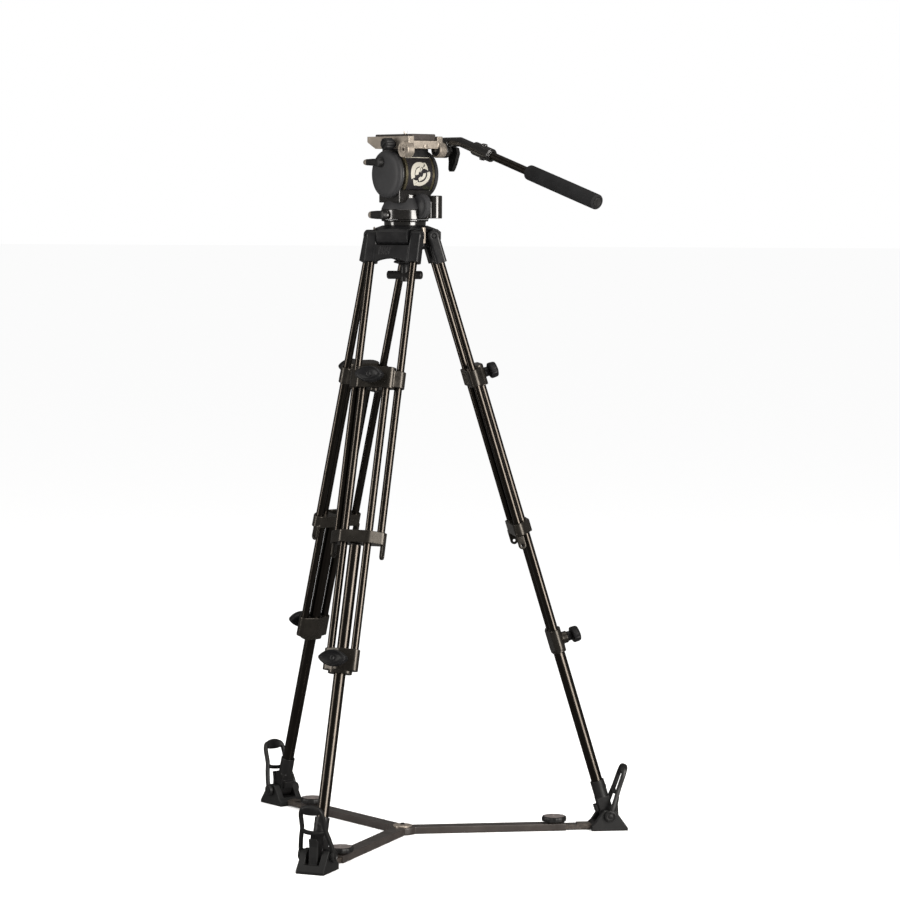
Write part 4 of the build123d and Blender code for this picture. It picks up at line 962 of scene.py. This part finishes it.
# ---------------------------------------------------------------- floor spreader
@dataclass
class SpreaderKit:
    """Hub, arms and disc knobs on the floor."""

    knob_height: float = 9.5
    lobes: int = 12

    def build(self) -> None:
        """Make every piece of the spreader."""
        Casting("spreader_hub", 1.0, 2, 50000).dressed(BRONZE)
        self.hub_cap()
        for number in LEGS:
            self.disc_knob(number)

    def hub_cap(self) -> None:
        """Beige turned cap on the hub with a small dark nub."""
        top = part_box("spreader_hub")[1].z / MM - 4.5
        cap = mm((top, 0), (top, 17.2), (top + 1.6, 17.2), (top + 2.6, 16.2), (top + 2.9, 12.0),
                 (top + 2.4, 10.8), (top + 2.9, 9.6), (top + 3.2, 6.0), (top + 3.2, 0))
        fit("hub_cap", [turned_patch(upright(), cap, 64)], CAP_BEIGE, "spreader", "bronze_arm")
        nub = mm((top + 2, 0), (top + 2, 4.4), (top + 5.2, 4.2), (top + 5.9, 3.2), (top + 6.0, 0))
        fit("hub_nub", [turned_patch(upright(), nub, 32)], KNOB, "spreader", "knob_black")

    def disc_knob(self, number: int) -> None:
        """Scalloped disc that locks a sliding arm.

        The rim radius is R - d/2 * (1 - cos(n t)) with n lobes, and the top dips to a screw head.

        Args:
            number: arm number.
        """
        low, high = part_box(f"arm_lock_knob_{number}")
        centre = (low + high) / 2
        axes = upright(centre.x, centre.y)
        turn = np.linspace(0, 2 * math.pi, 144, endpoint=False)
        outline = wheel((high.x - low.x) / 2 - 0.00055 * (1 - np.cos(self.lobes * turn)), turn)
        foot, top = low.z / MM, high.z / MM
        under = top - self.knob_height
        rings = rings_mm((foot, 0, 0, 0), (foot, 4, 0, 0), (under, 4, 0, 0), (under, 8, 0, 0),
                         (under, 9, 1, 0.92), (under + 1, 9, 1, 0.98), (top - 5, 9, 1, 1.0),
                         (top - 1.8, 9, 1, 0.985), (top - 0.5, 9, 1, 0.94), (top, 9, 1, 0.89),
                         (top - 0.4, 9, 1, 0.84), (top - 1.6, 10, 1, 0.62), (top - 1.8, 10, 0, 0),
                         (top - 0.9, 8.0, 0, 0), (top - 0.7, 4.0, 0, 0), (top - 2.0, 3.2, 0, 0),
                         (top - 2.0, 0.0, 0, 0))
        fit(f"arm_disc_knob_{number}", [outline_patch(axes, outline, rings)], MOULDING, f"arm_knob_{number}",
            "cover_grey", f"arm_lock_knob_{number}")
        inlay = rings_mm((top - 1.9, 0, 1, 0), (top - 1.9, 0, 1, 0.80), (top - 0.5, 0, 1, 0.83),
                         (top + 0.05, 0, 1, 0.80), (top + 0.25, 0, 1, 0.5), (top + 0.3, 3.4, 0, 0),
                         (top - 0.9, 2.6, 0, 0), (top - 0.9, 0, 0, 0))
        fit(f"arm_disc_inlay_{number}", [outline_patch(axes, outline, inlay)], DISC_TOP,
            f"arm_knob_{number}", "cover_grey")


# ---------------------------------------------------------------- head
@dataclass
class HeadKit:
    """Crown, fluid head and camera platform."""

    cover_radius: float = 43.0
    spare_face: float = 44.0

    def build(self) -> None:
        """Make every piece of the head."""
        plan = {"crown": (0.8, 60000, CASTING), "levelling_ball": (0.8, 24000, GLOSS),
                "bowl_clamp_handle": (0.6, 24000, MOULDING), "pan_housing": (0.7, 70000, GLOSS),
                "tilt_drum": (0.8, 30000, CASTING), "top_platform": (0.6, 60000, CHAMPAGNE),
                "sliding_plate": (0.6, 24000, BRONZE), "handle_arm": (0.6, 30000, GLOSS),
                "handle_clamp_lever": (0.5, 16000, MOULDING)}
        for node, (voxel, faces, finish) in plan.items():
            Casting(node, voxel, 3, faces).dressed(finish)
        self.covers()
        self.cone()
        self.drag_dial()
        self.plate_knob()
        self.rosettes()
        self.level()
        self.label()
        self.fins()
        self.levers()
        self.handle()

    def tilt_centre(self) -> Array:
        """Centre of the tilt hinge."""
        return np.array(JOINTS["head_tilt"]["pos_m"])

    def covers(self) -> None:
        """Domed covers with a shallow step round the edge, one object for each side's pair."""
        patches = []
        for side in (-1.0, 1.0):
            axes = sideways(self.tilt_centre(), side)
            radius = self.cover_radius
            profile = mm((35.95, 0.0), (35.95, radius), (37.6, radius), (38.0, radius - 0.5),
                         (38.4, radius - 0.5), (38.8, radius), (41.0, radius - 0.1), (43.2, radius - 1.2),
                         (45.0, radius - 3.4), (46.2, radius - 7.0), (46.8, radius - 13.0),
                         (47.0, radius - 24.0), (47.0, 0.0))
            patches.append(turned_patch(axes, profile, 96))
        fit("cover_domes", patches, COVER, "pan", "cover_grey", "side_covers")

    def cone(self) -> None:
        """Satin grey cone between the glossy base and the cheeks."""
        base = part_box("pan_housing")[0].z / MM
        profile = mm((base + 18.2, 41.0), (base + 18.6, 42.6), (base + 19.6, 42.4), (base + 37.5, 34.0),
                     (base + 38.5, 33.0), (base + 38.5, 31.0), (base + 18.2, 41.0))
        fit("base_cone", [turned_patch(upright(), profile, 96)], COVER, "pan", "dark_casting")

    def drag_dial(self) -> None:
        """Upright drag dial with a knurled rim."""
        axes, back, face = self.side_wheel("drag_dial")
        turn = np.linspace(0, 2 * math.pi, 180, endpoint=False)
        outline = wheel((22.4 - 0.25 * (1 - np.cos(45 * turn))) * MM, turn)
        rings = rings_mm((back, 0, 0, 0), (back, 4, 0, 0), (face - 11.2, 4, 0, 0),
                         (face - 11.2, 12, 1, 0.93), (face - 10.4, 12, 1, 1), (face - 1.6, 12, 1, 1),
                         (face - 0.4, 12, 1, 0.95), (face, 12, 1, 0.90), (face - 0.2, 12, 1, 0.84),
                         (face - 1.0, 12, 1, 0.78), (face - 1.0, 9, 0, 0), (face - 0.3, 8, 0, 0),
                         (face - 0.3, 0, 0, 0))
        fit("drag_wheel", [outline_patch(axes, outline, rings)], COVER, "drag_dial_body", "knob_black",
            "drag_dial")

    def side_wheel(self, node: str) -> tuple[Axes, float, float]:
        """Frame of a wheel that faces sideways, with its back and face in millimetres.

        Args:
            node: CAD node of the wheel.

        Returns:
            The frame on the middle plane, then the depths of back and face.
        """
        low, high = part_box(node)
        centre = np.array([0.0, (low.y + high.y) / 2, (low.z + high.z) / 2])
        return sideways(centre), low.x / MM, high.x / MM

    def plate_knob(self) -> None:
        """Round knob that clamps the sliding plate, fluted at the rim."""
        axes, back, face = self.side_wheel("plate_lock_knob")
        turn = np.linspace(0, 2 * math.pi, 144, endpoint=False)
        outline = wheel((11.0 - 0.8 * (0.5 - 0.5 * np.cos(9 * turn)) ** 2) * MM, turn)
        rings = rings_mm((back, 0, 0, 0), (back, 4, 0, 0), (face - 23.6, 4, 0, 0), (face - 23.6, 6.6, 0, 0),
                         (face - 18.4, 7, 0, 0), (face - 18, 7, 1, 0.92), (face - 17, 7, 1, 1.0),
                         (face - 2.0, 7, 1, 0.97), (face - 0.6, 7, 1, 0.90), (face, 7, 1, 0.78),
                         (face - 0.2, 7, 1, 0.68), (face - 1.6, 6, 1, 0.55), (face - 1.8, 0, 0, 0))
        fit("plate_knob_grip", [outline_patch(axes, outline, rings)], KNOB, "plate_knob", "knob_black",
            "plate_lock_knob")
        bar = np.array([[-8, 0], [8, 0]]) * MM
        path = axes.place(np.stack([np.full(2, face - 1.0) * MM, bar[:, 0] * 0.7, bar[:, 0] * 0.5], axis=-1))
        path = np.linspace(path[0], path[1], 6)
        ring = np.array([[1, -1], [1, 1], [-1, 1], [-1, -1]]) * np.array([0.9, 1.5]) * MM
        fit("plate_knob_bar", [capped(swept_patch(path, EAST, ring))], KNOB, "plate_knob", "knob_black")

    def rosettes(self) -> None:
        """Radial teeth on the spare boss, then a washer, a screw and a pale stud that is a painted highlight on
        the drum's neck.

        Depth = base + h * (0.5 + 0.5 cos(n t)) between an inner and an outer radius, smooth at both.
        """
        hinge = np.array(JOINTS["handle_angle"]["pos_m"])
        axes = sideways(np.array([0.0, hinge[1], hinge[2]]))
        turn = np.linspace(0, 2 * math.pi, 289)
        radius = mm((2.5, 3.4, 5.2, 5.6, 12.4, 12.9, 13.9, 13.9, 2.5))[0][:, None]
        height = mm((0.1, 0.9, 0.9, 0.35, 0.35, 0.9, 0.9, -0.6, -0.6))[0][:, None]
        teeth = mm((0, 0, 0, 1, 1, 0, 0, 0, 0))[0][:, None]
        depth = self.spare_face * MM + height + 0.55 * teeth * (0.5 + 0.5 * np.cos(36 * turn))
        local = np.stack([depth, radius * np.cos(turn), radius * np.sin(turn)], axis=-1)
        local = np.concatenate([local, local[:1]])
        fit("rosette_teeth_spare", [Patch(axes.place(local))], CHAMPAGNE, "tilt", "champagne")
        washer = mm((-29.4, 0), (-29.4, 10.4), (-28.4, 10.4), (-27.9, 9.8), (-27.9, 0))
        fit("inner_washer", [turned_patch(axes, washer, 48)], MOULDING, "tilt", "champagne")
        screw = mm((-28.4, 0), (-28.4, 3.8), (-26.6, 3.8), (-26.0, 3.1), (-26.0, 1.7), (-27.4, 1.5),
                   (-27.4, 0))
        fit("inner_screw", [turned_patch(axes, screw, 32)], STEEL, "tilt", "champagne")
        # Pale champagne stud under the platform: a painted highlight on the drum's neck, not a part of its own.
        stud = axes_along(np.array([0.0, 0.060, hinge[2] + 0.006]), NORTH, UP)
        head = mm((-4.0, 0), (-4.0, 5.0), (0.6, 5.0), (1.4, 4.2), (1.6, 1.9), (0.4, 1.7), (0.4, 0))
        fit("rear_stud", [turned_patch(stud, head, 32)], CHAMPAGNE, "tilt", "champagne")

    def level(self) -> None:
        """Bubble level in the top of its cup."""
        axes = upright(-0.030, 0.047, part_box("pan_housing")[0].z)
        vial = mm((38.2, 0), (38.2, 9.6), (41.2, 9.6), (41.9, 8.8), (42.3, 5.0), (42.5, 0))
        fit("level_vial", [turned_patch(axes, vial, 40)], LIQUID, "pan", "dark_casting")
        ring = mm((41.0, 9.5), (42.4, 9.7), (42.9, 10.6), (42.9, 12.6), (42.2, 13.4), (41.0, 13.6),
                  (41.0, 9.5))
        fit("level_bezel", [turned_patch(axes, ring, 48)], CASTING, "pan", "dark_casting")

    def label(self) -> None:
        """Curved rear plate with turning arrows, brass edges and a light top line.

        Everything is wrapped on the drum: (depth, across, up) goes to radius R + depth, angle up / R.
        """
        drum = Drum(self.tilt_centre(), spans("tilt_drum", square(self.tilt_centre()))[1][2])
        plate = drum.plate(-0.0272, 0.0272, -0.0290, 0.0310, -0.0042, 0.0004)
        fit("rear_plate", [plate], LABEL, "tilt", "dark_casting")
        for side in (-1.0, 1.0):
            low, high = sorted((side * 0.0273, side * 0.0318))
            band = drum.plate(low, high, -0.0300, 0.0320, -0.0042, 0.0003)
            fit(f"edge_band_{1 if side > 0 else 2}", [band], BRASS, "tilt", "dark_casting")
        line = drum.plate(-0.0270, 0.0270, 0.0308, 0.0322, -0.0030, 0.0010)
        fit("top_line", [line], PRINT, "tilt", "dark_casting")
        for number, (start, end, radius, half) in enumerate((
                (205.0, 20.0, 17.6, 4.2), (12.0, -150.0, 18.2, 3.4), (190.0, 60.0, 8.2, 3.6),
                (10.0, -120.0, 8.6, 3.0))):
            arrow = drum.wrap(arc_arrow(radius, half, start, end), 0.0004)
            fit(f"turn_arrow_{number + 1}", [arrow], PRINT, "tilt", "dark_casting")

    def fins(self) -> None:
        """Pale strips on the ribs between the legs, painted highlights along the rib edges."""
        hinge = JOINTS["leg_fold_1"]["pos_m"][2]
        # Each beige strip is a painted highlight on the edge of a rib.
        strip = rounded_box_outline(2.9, 14.5, 1.2)
        rings = rings_mm((0, 0, 1, 0), (0, 0, 1, 1), (2.2, 0, 1, 1), (2.9, 0, 1, 0.9), (3.0, 0, 1, 0))
        for number in LEGS:
            turn = math.radians(120.0 * number - 150.0)
            away = np.array([math.cos(turn), math.sin(turn), 0.0])
            axes = axes_along(np.array([0.0, 0.0, hinge + 0.001]) + 0.0542 * away, away, UP)
            fit(f"crown_strip_{number}", [outline_patch(axes, strip, rings)], CAP_BEIGE, "crown",
                "dark_casting")

    def levers(self) -> None:
        """Chunky lock levers with pale tips."""
        for name, node, body, length, height in (("tilt", "tilt_lock_lever", "tilt_lever", 47.0, 6.4),
                                                 ("pan", "pan_lock_lever", "pan_lever", 43.0, 7.6)):
            axes = square(JOINTS[f"{body}_turn"]["pos_m"])
            low, high = spans(node, axes)
            run = np.linspace(0.0, 1.0, 40)
            swell = np.sqrt(np.clip(1.0 - (2.0 * run - 1.0) ** 8, 0.0, 1.0))
            taper = 1.0 - 0.18 * np.abs(2 * run - 0.7) ** 2
            shape = closed(superellipse(1.0, 1.0, 2.8, 32))
            middle = high[0] / MM - 5.2
            local = np.stack([middle + 4.9 * (swell * taper)[:, None] * shape[None, :, 0],
                              np.broadcast_to((7.0 - (length + 6.0) * run)[:, None], (40, len(shape))),
                              height * (swell * taper)[:, None] * shape[None, :, 1]], axis=-1)
            hub = mm((low[0] / MM, 0), (low[0] / MM, 4), (high[0] / MM - 8.6, 4), (high[0] / MM - 8.6, 9.2),
                     (high[0] / MM - 3.0, 8.4), (high[0] / MM - 1.0, 7.6), (high[0] / MM - 0.2, 5.8),
                     (high[0] / MM, 0))
            fit(f"{name}_lever_body", [Patch(axes.place(local * MM)), turned_patch(axes, hub, 40)],
                MOULDING, body, "knob_black", node)
            tip = local[30:39].copy()
            centre = tip.mean(axis=1, keepdims=True)
            tip = centre + (tip - centre) * 1.035
            fit(f"{name}_lever_tip", [capped(Patch(axes.place(tip * MM)))], CHAMPAGNE, body, "knob_black")

    def handle(self) -> None:
        """Telescoping tube and foam grip, both turned about the handle's line."""
        slide = np.array(JOINTS["handle_telescope"]["axis"])
        rough = axes_along(np.zeros(3), slide, UP)
        low, high = spans("handle_grip", rough)
        tube_low, tube_high = spans("handle_tube", rough)
        axes = rough.moved(y=(low[1] + high[1]) / 2, z=(low[2] + high[2]) / 2)
        radius = (tube_high[1] - tube_low[1]) / 2
        start, stop = tube_low[0], tube_high[0]
        tube = np.array([(start, 0), (start, radius - 0.0006), (start + 0.0006, radius),
                         (stop - 0.001, radius), (stop, radius - 0.001), (stop, 0)])
        fit("handle_inner_tube", [turned_patch(axes, tube, 48)], TUBE_BLACK, "handle_inner",
            "black_anodised", "handle_tube")
        full = (high[1] - low[1]) / 2
        run = np.linspace(0, 1, 72)
        length = high[0] - low[0]
        edge = np.sqrt(np.clip(1 - (1 - np.minimum(run, 1 - run) * length / 0.0035).clip(0) ** 2, 0, 1))
        outer = radius + (full - radius) * edge * (0.965 + 0.035 * np.sin(math.pi * run) ** 0.5)
        body = np.stack([low[0] + run * length, outer], axis=-1)
        lip = np.array([[high[0] - 0.0012, full * 0.62], [high[0] - 0.0012, 0.0]])
        profile = np.vstack([[[low[0], 0.0]], body[:-1], [[high[0], full * 0.70]], lip])
        grip = fit("foam_grip", [turned_patch(axes, profile, 56)], FOAM, "handle_inner", "foam_black",
                   "handle_grip")
        cap = np.array([(high[0] - 0.0012, 0), (high[0] - 0.0012, full * 0.60),
                        (high[0] - 0.0003, full * 0.56), (high[0] - 0.0002, full * 0.2),
                        (high[0] - 0.0006, 0)])
        fit("grip_end_cap", [turned_patch(axes, cap, 40)], MOULDING, "handle_inner", "foam_black")


@dataclass
class Drum:
    """The tilting drum as a surface to wrap flat pieces on."""

    centre: Array
    radius: float

    def place(self, flat: Array) -> Array:
        """Point (depth, across, up) is centre + (R + depth) (cos a Y + sin a Z) - across X, a = up / R.

        Args:
            flat: points (..., 3) in metres.

        Returns:
            The points on the drum.
        """
        angle = flat[..., 2] / self.radius
        reach = self.radius + flat[..., 0]
        return self.centre + np.stack([-flat[..., 1], reach * np.cos(angle), reach * np.sin(angle)], axis=-1)

    def plate(self, left: float, right: float, bottom: float, top: float, inside: float,
              outside: float) -> Patch:
        """Curved plate between two radii, its outline a ring swept up the drum.

        Args:
            left: lower limit across.
            right: upper limit across.
            bottom: lower limit up the drum.
            top: upper limit up the drum.
            inside: depth of the inner face.
            outside: depth of the outer face.

        Returns:
            The closed patch.
        """
        up = np.linspace(bottom, top, 40)
        corners = np.array([(inside, left), (outside, left), (outside, right), (inside, right),
                            (inside, left)])
        ring = np.concatenate([np.linspace(a, b, 8, endpoint=False) for a,
                               b in zip(corners[:-1], corners[1:])])
        ring = closed(ring)
        flat = np.concatenate([np.broadcast_to(ring, (40, *ring.shape)),
                               np.broadcast_to(up[:, None, None], (40, len(ring), 1))], axis=-1)
        return capped(Patch(self.place(flat)))

    def wrap(self, patch: Patch, lift: float) -> Patch:
        """Lay a flat patch on the drum at a small lift."""
        return Patch(self.place(patch.points + np.array([lift, 0.0, 0.0])))


def rounded_box_outline(half_width: float, half_height: float, corner: float, steps: int = 12) -> Array:
    """Outline of a rectangle with round corners, in metres from sizes in millimetres.

    Args:
        half_width: half size across.
        half_height: half size upwards.
        corner: corner radius.
        steps: points on each corner.

    Returns:
        (4 * steps, 2) rows.
    """
    turn = np.linspace(0, math.pi / 2, steps)
    parts = []
    for quarter, (sx, sy) in enumerate(((1, 1), (-1, 1), (-1, -1), (1, -1))):
        angle = turn + quarter * math.pi / 2
        parts.append(np.stack([sx * (half_width - corner) + corner * np.cos(angle),
                               sy * (half_height - corner) + corner * np.sin(angle)], axis=-1))
    return np.concatenate(parts) * MM


def arc_arrow(radius: float, half: float, start: float, end: float) -> Patch:
    """Flat curved arrow: a band of an annulus that widens to a head and closes to a point.

    Args:
        radius: middle radius in millimetres.
        half: half width of the band.
        start: tail angle in degrees.
        end: angle of the point.

    Returns:
        A closed thin patch of (depth, across, up) points in metres.
    """
    run = np.linspace(0, 1, 48)
    angle = np.radians(start + (end - start) * run)
    wide = np.where(run < 0.78, half, 1.75 * half * (1 - run) / 0.22 + 0.02)
    rows = [(radius - wide, 0.0), (radius - wide, 0.25), (radius + wide, 0.25), (radius + wide, 0.0),
            (radius - wide, 0.0)]
    local = np.stack([np.stack([np.full_like(run, depth), r * np.cos(angle), r * np.sin(angle)], axis=-1)
                      for r, depth in rows], axis=1) * MM
    return capped(Patch(local))


# ---------------------------------------------------------------- studio
@dataclass
class Studio:
    """Floor, lights and camera."""

    lens: float = 132.02
    eye: tuple[float, float, float] = (3.6116, 4.7172, 1.1338)
    pitch: float = 0.073
    roll: float = -0.005
    heading: tuple[float, float] = (-0.6189, -0.7854)

    def build(self) -> None:
        """Make the floor, the lights and the camera."""
        self.floor()
        self.lights()
        self.camera()

    def floor(self) -> None:
        """Wide pale floor."""
        size = 400.0
        corner = np.array([[[-size, -size, 0], [size, -size, 0]], [[-size, size, 0], [size, size, 0]]])
        white = Finish("studio_floor", (0.965, 0.965, 0.965), 0.0, 0.9, 0.05, 0.003, Grain.BLASTED, 0.00001,
                       specular=0.0)
        floor = make_object("studio_floor", [Patch(corner)], white)
        if floor.data.polygons[0].normal.z < 0:
            floor.data.flip_normals()
        floor.visible_glossy = False

    def lights(self) -> None:
        """Two tall soft boxes, one above, in a pale room that glossy surfaces see dark."""
        self.room()
        toward = math.degrees(math.atan2(self.eye[1], self.eye[0]))
        for name, swing, distance, size, power in (("left_box", -74.0, 2.4, (0.6, 2.4), 40.0),
                                                   ("right_box", 44.0, 2.6, (1.2, 2.4), 130.0)):
            turn = math.radians(toward + swing)
            self.box(name, (distance * math.cos(turn), distance * math.sin(turn), 1.05), size, power)
        self.box("top_box", (0.2, 0.3, 3.2), (2.0, 2.0), 24.0)

    def room(self) -> None:
        """World that lights evenly and reflects dark."""
        world = bpy.data.worlds.new("studio_room")
        world.use_nodes = True
        nodes, links = world.node_tree.nodes, world.node_tree.links
        pale = nodes["Background"]
        pale.inputs["Color"].default_value = (1.0, 1.0, 1.0, 1.0)
        pale.inputs["Strength"].default_value = 1.0
        dark = nodes.new("ShaderNodeBackground")
        dark.inputs["Color"].default_value = (1.0, 0.97, 0.94, 1.0)
        dark.inputs["Strength"].default_value = 0.14
        path = nodes.new("ShaderNodeLightPath")
        blend = nodes.new("ShaderNodeMixShader")
        links.new(path.outputs["Is Glossy Ray"], blend.inputs[0])
        links.new(pale.outputs["Background"], blend.inputs[1])
        links.new(dark.outputs["Background"], blend.inputs[2])
        links.new(blend.outputs["Shader"], nodes["World Output"].inputs["Surface"])
        bpy.context.scene.world = world
        bpy.context.scene.view_settings.view_transform = "Standard"

    def box(self, name: str, place: tuple[float, float, float], size: tuple[float, float],
            power: float) -> None:
        """Soft box aimed at the middle of the tripod.

        Args:
            name: object name.
            place: its centre.
            size: width and height.
            power: watts.
        """
        light = bpy.data.lights.new(name, "AREA")
        light.shape = "RECTANGLE"
        light.size, light.size_y = size
        light.energy = power
        light.color = (1.0, 0.965, 0.92)
        holder = bpy.data.objects.new(name, light)
        holder.location = place
        aim = Vector((0.0, 0.0, 0.75)) - Vector(place)
        holder.rotation_euler = aim.to_track_quat("-Z", "Y").to_euler()
        holder.visible_camera = False
        bpy.context.scene.collection.objects.link(holder)

    def camera(self) -> None:
        """Camera at the eye point, looking along its heading with a small pitch and roll."""
        lens = bpy.data.cameras.new("camera")
        lens.lens = self.lens
        lens.sensor_width = 36.0
        lens.clip_end = 100.0
        holder = bpy.data.objects.new("camera", lens)
        bpy.context.scene.collection.objects.link(holder)
        flat = Vector((*self.heading, 0.0)).normalized()
        forward = flat * math.cos(self.pitch) - Vector((0, 0, 1)) * math.sin(self.pitch)
        right = forward.cross(Vector((0, 0, 1))).normalized()
        up = right.cross(forward)
        turn = Matrix.Rotation(self.roll, 3, forward)
        right, up = turn @ right, turn @ up
        matrix = Matrix((right, up, -forward)).transposed().to_4x4()
        matrix.translation = Vector(self.eye)
        holder.matrix_world = matrix
        bpy.context.scene.camera = holder


def dress_rest() -> None:
    """Give every CAD node that still shows the finish of its slot."""
    for name, node in frame["nodes"].items():
        if not node.hide_render:
            node.data.materials.clear()
            node.data.materials.append(SLOT_FINISH[SLOT_OF[name]].material())
            LOG.info("%s keeps its CAD shape", name)


def main() -> None:
    """Build every sub-assembly in order."""
    logging.basicConfig(level=logging.INFO, format="%(name)s: %(message)s")
    for kit in (SpreaderKit(), LegKit(), HeadKit()):
        LOG.info("building %s", type(kit).__name__)
        kit.build()
    dress_rest()
    Studio().build()


if __name__ == "__main__":
    main()
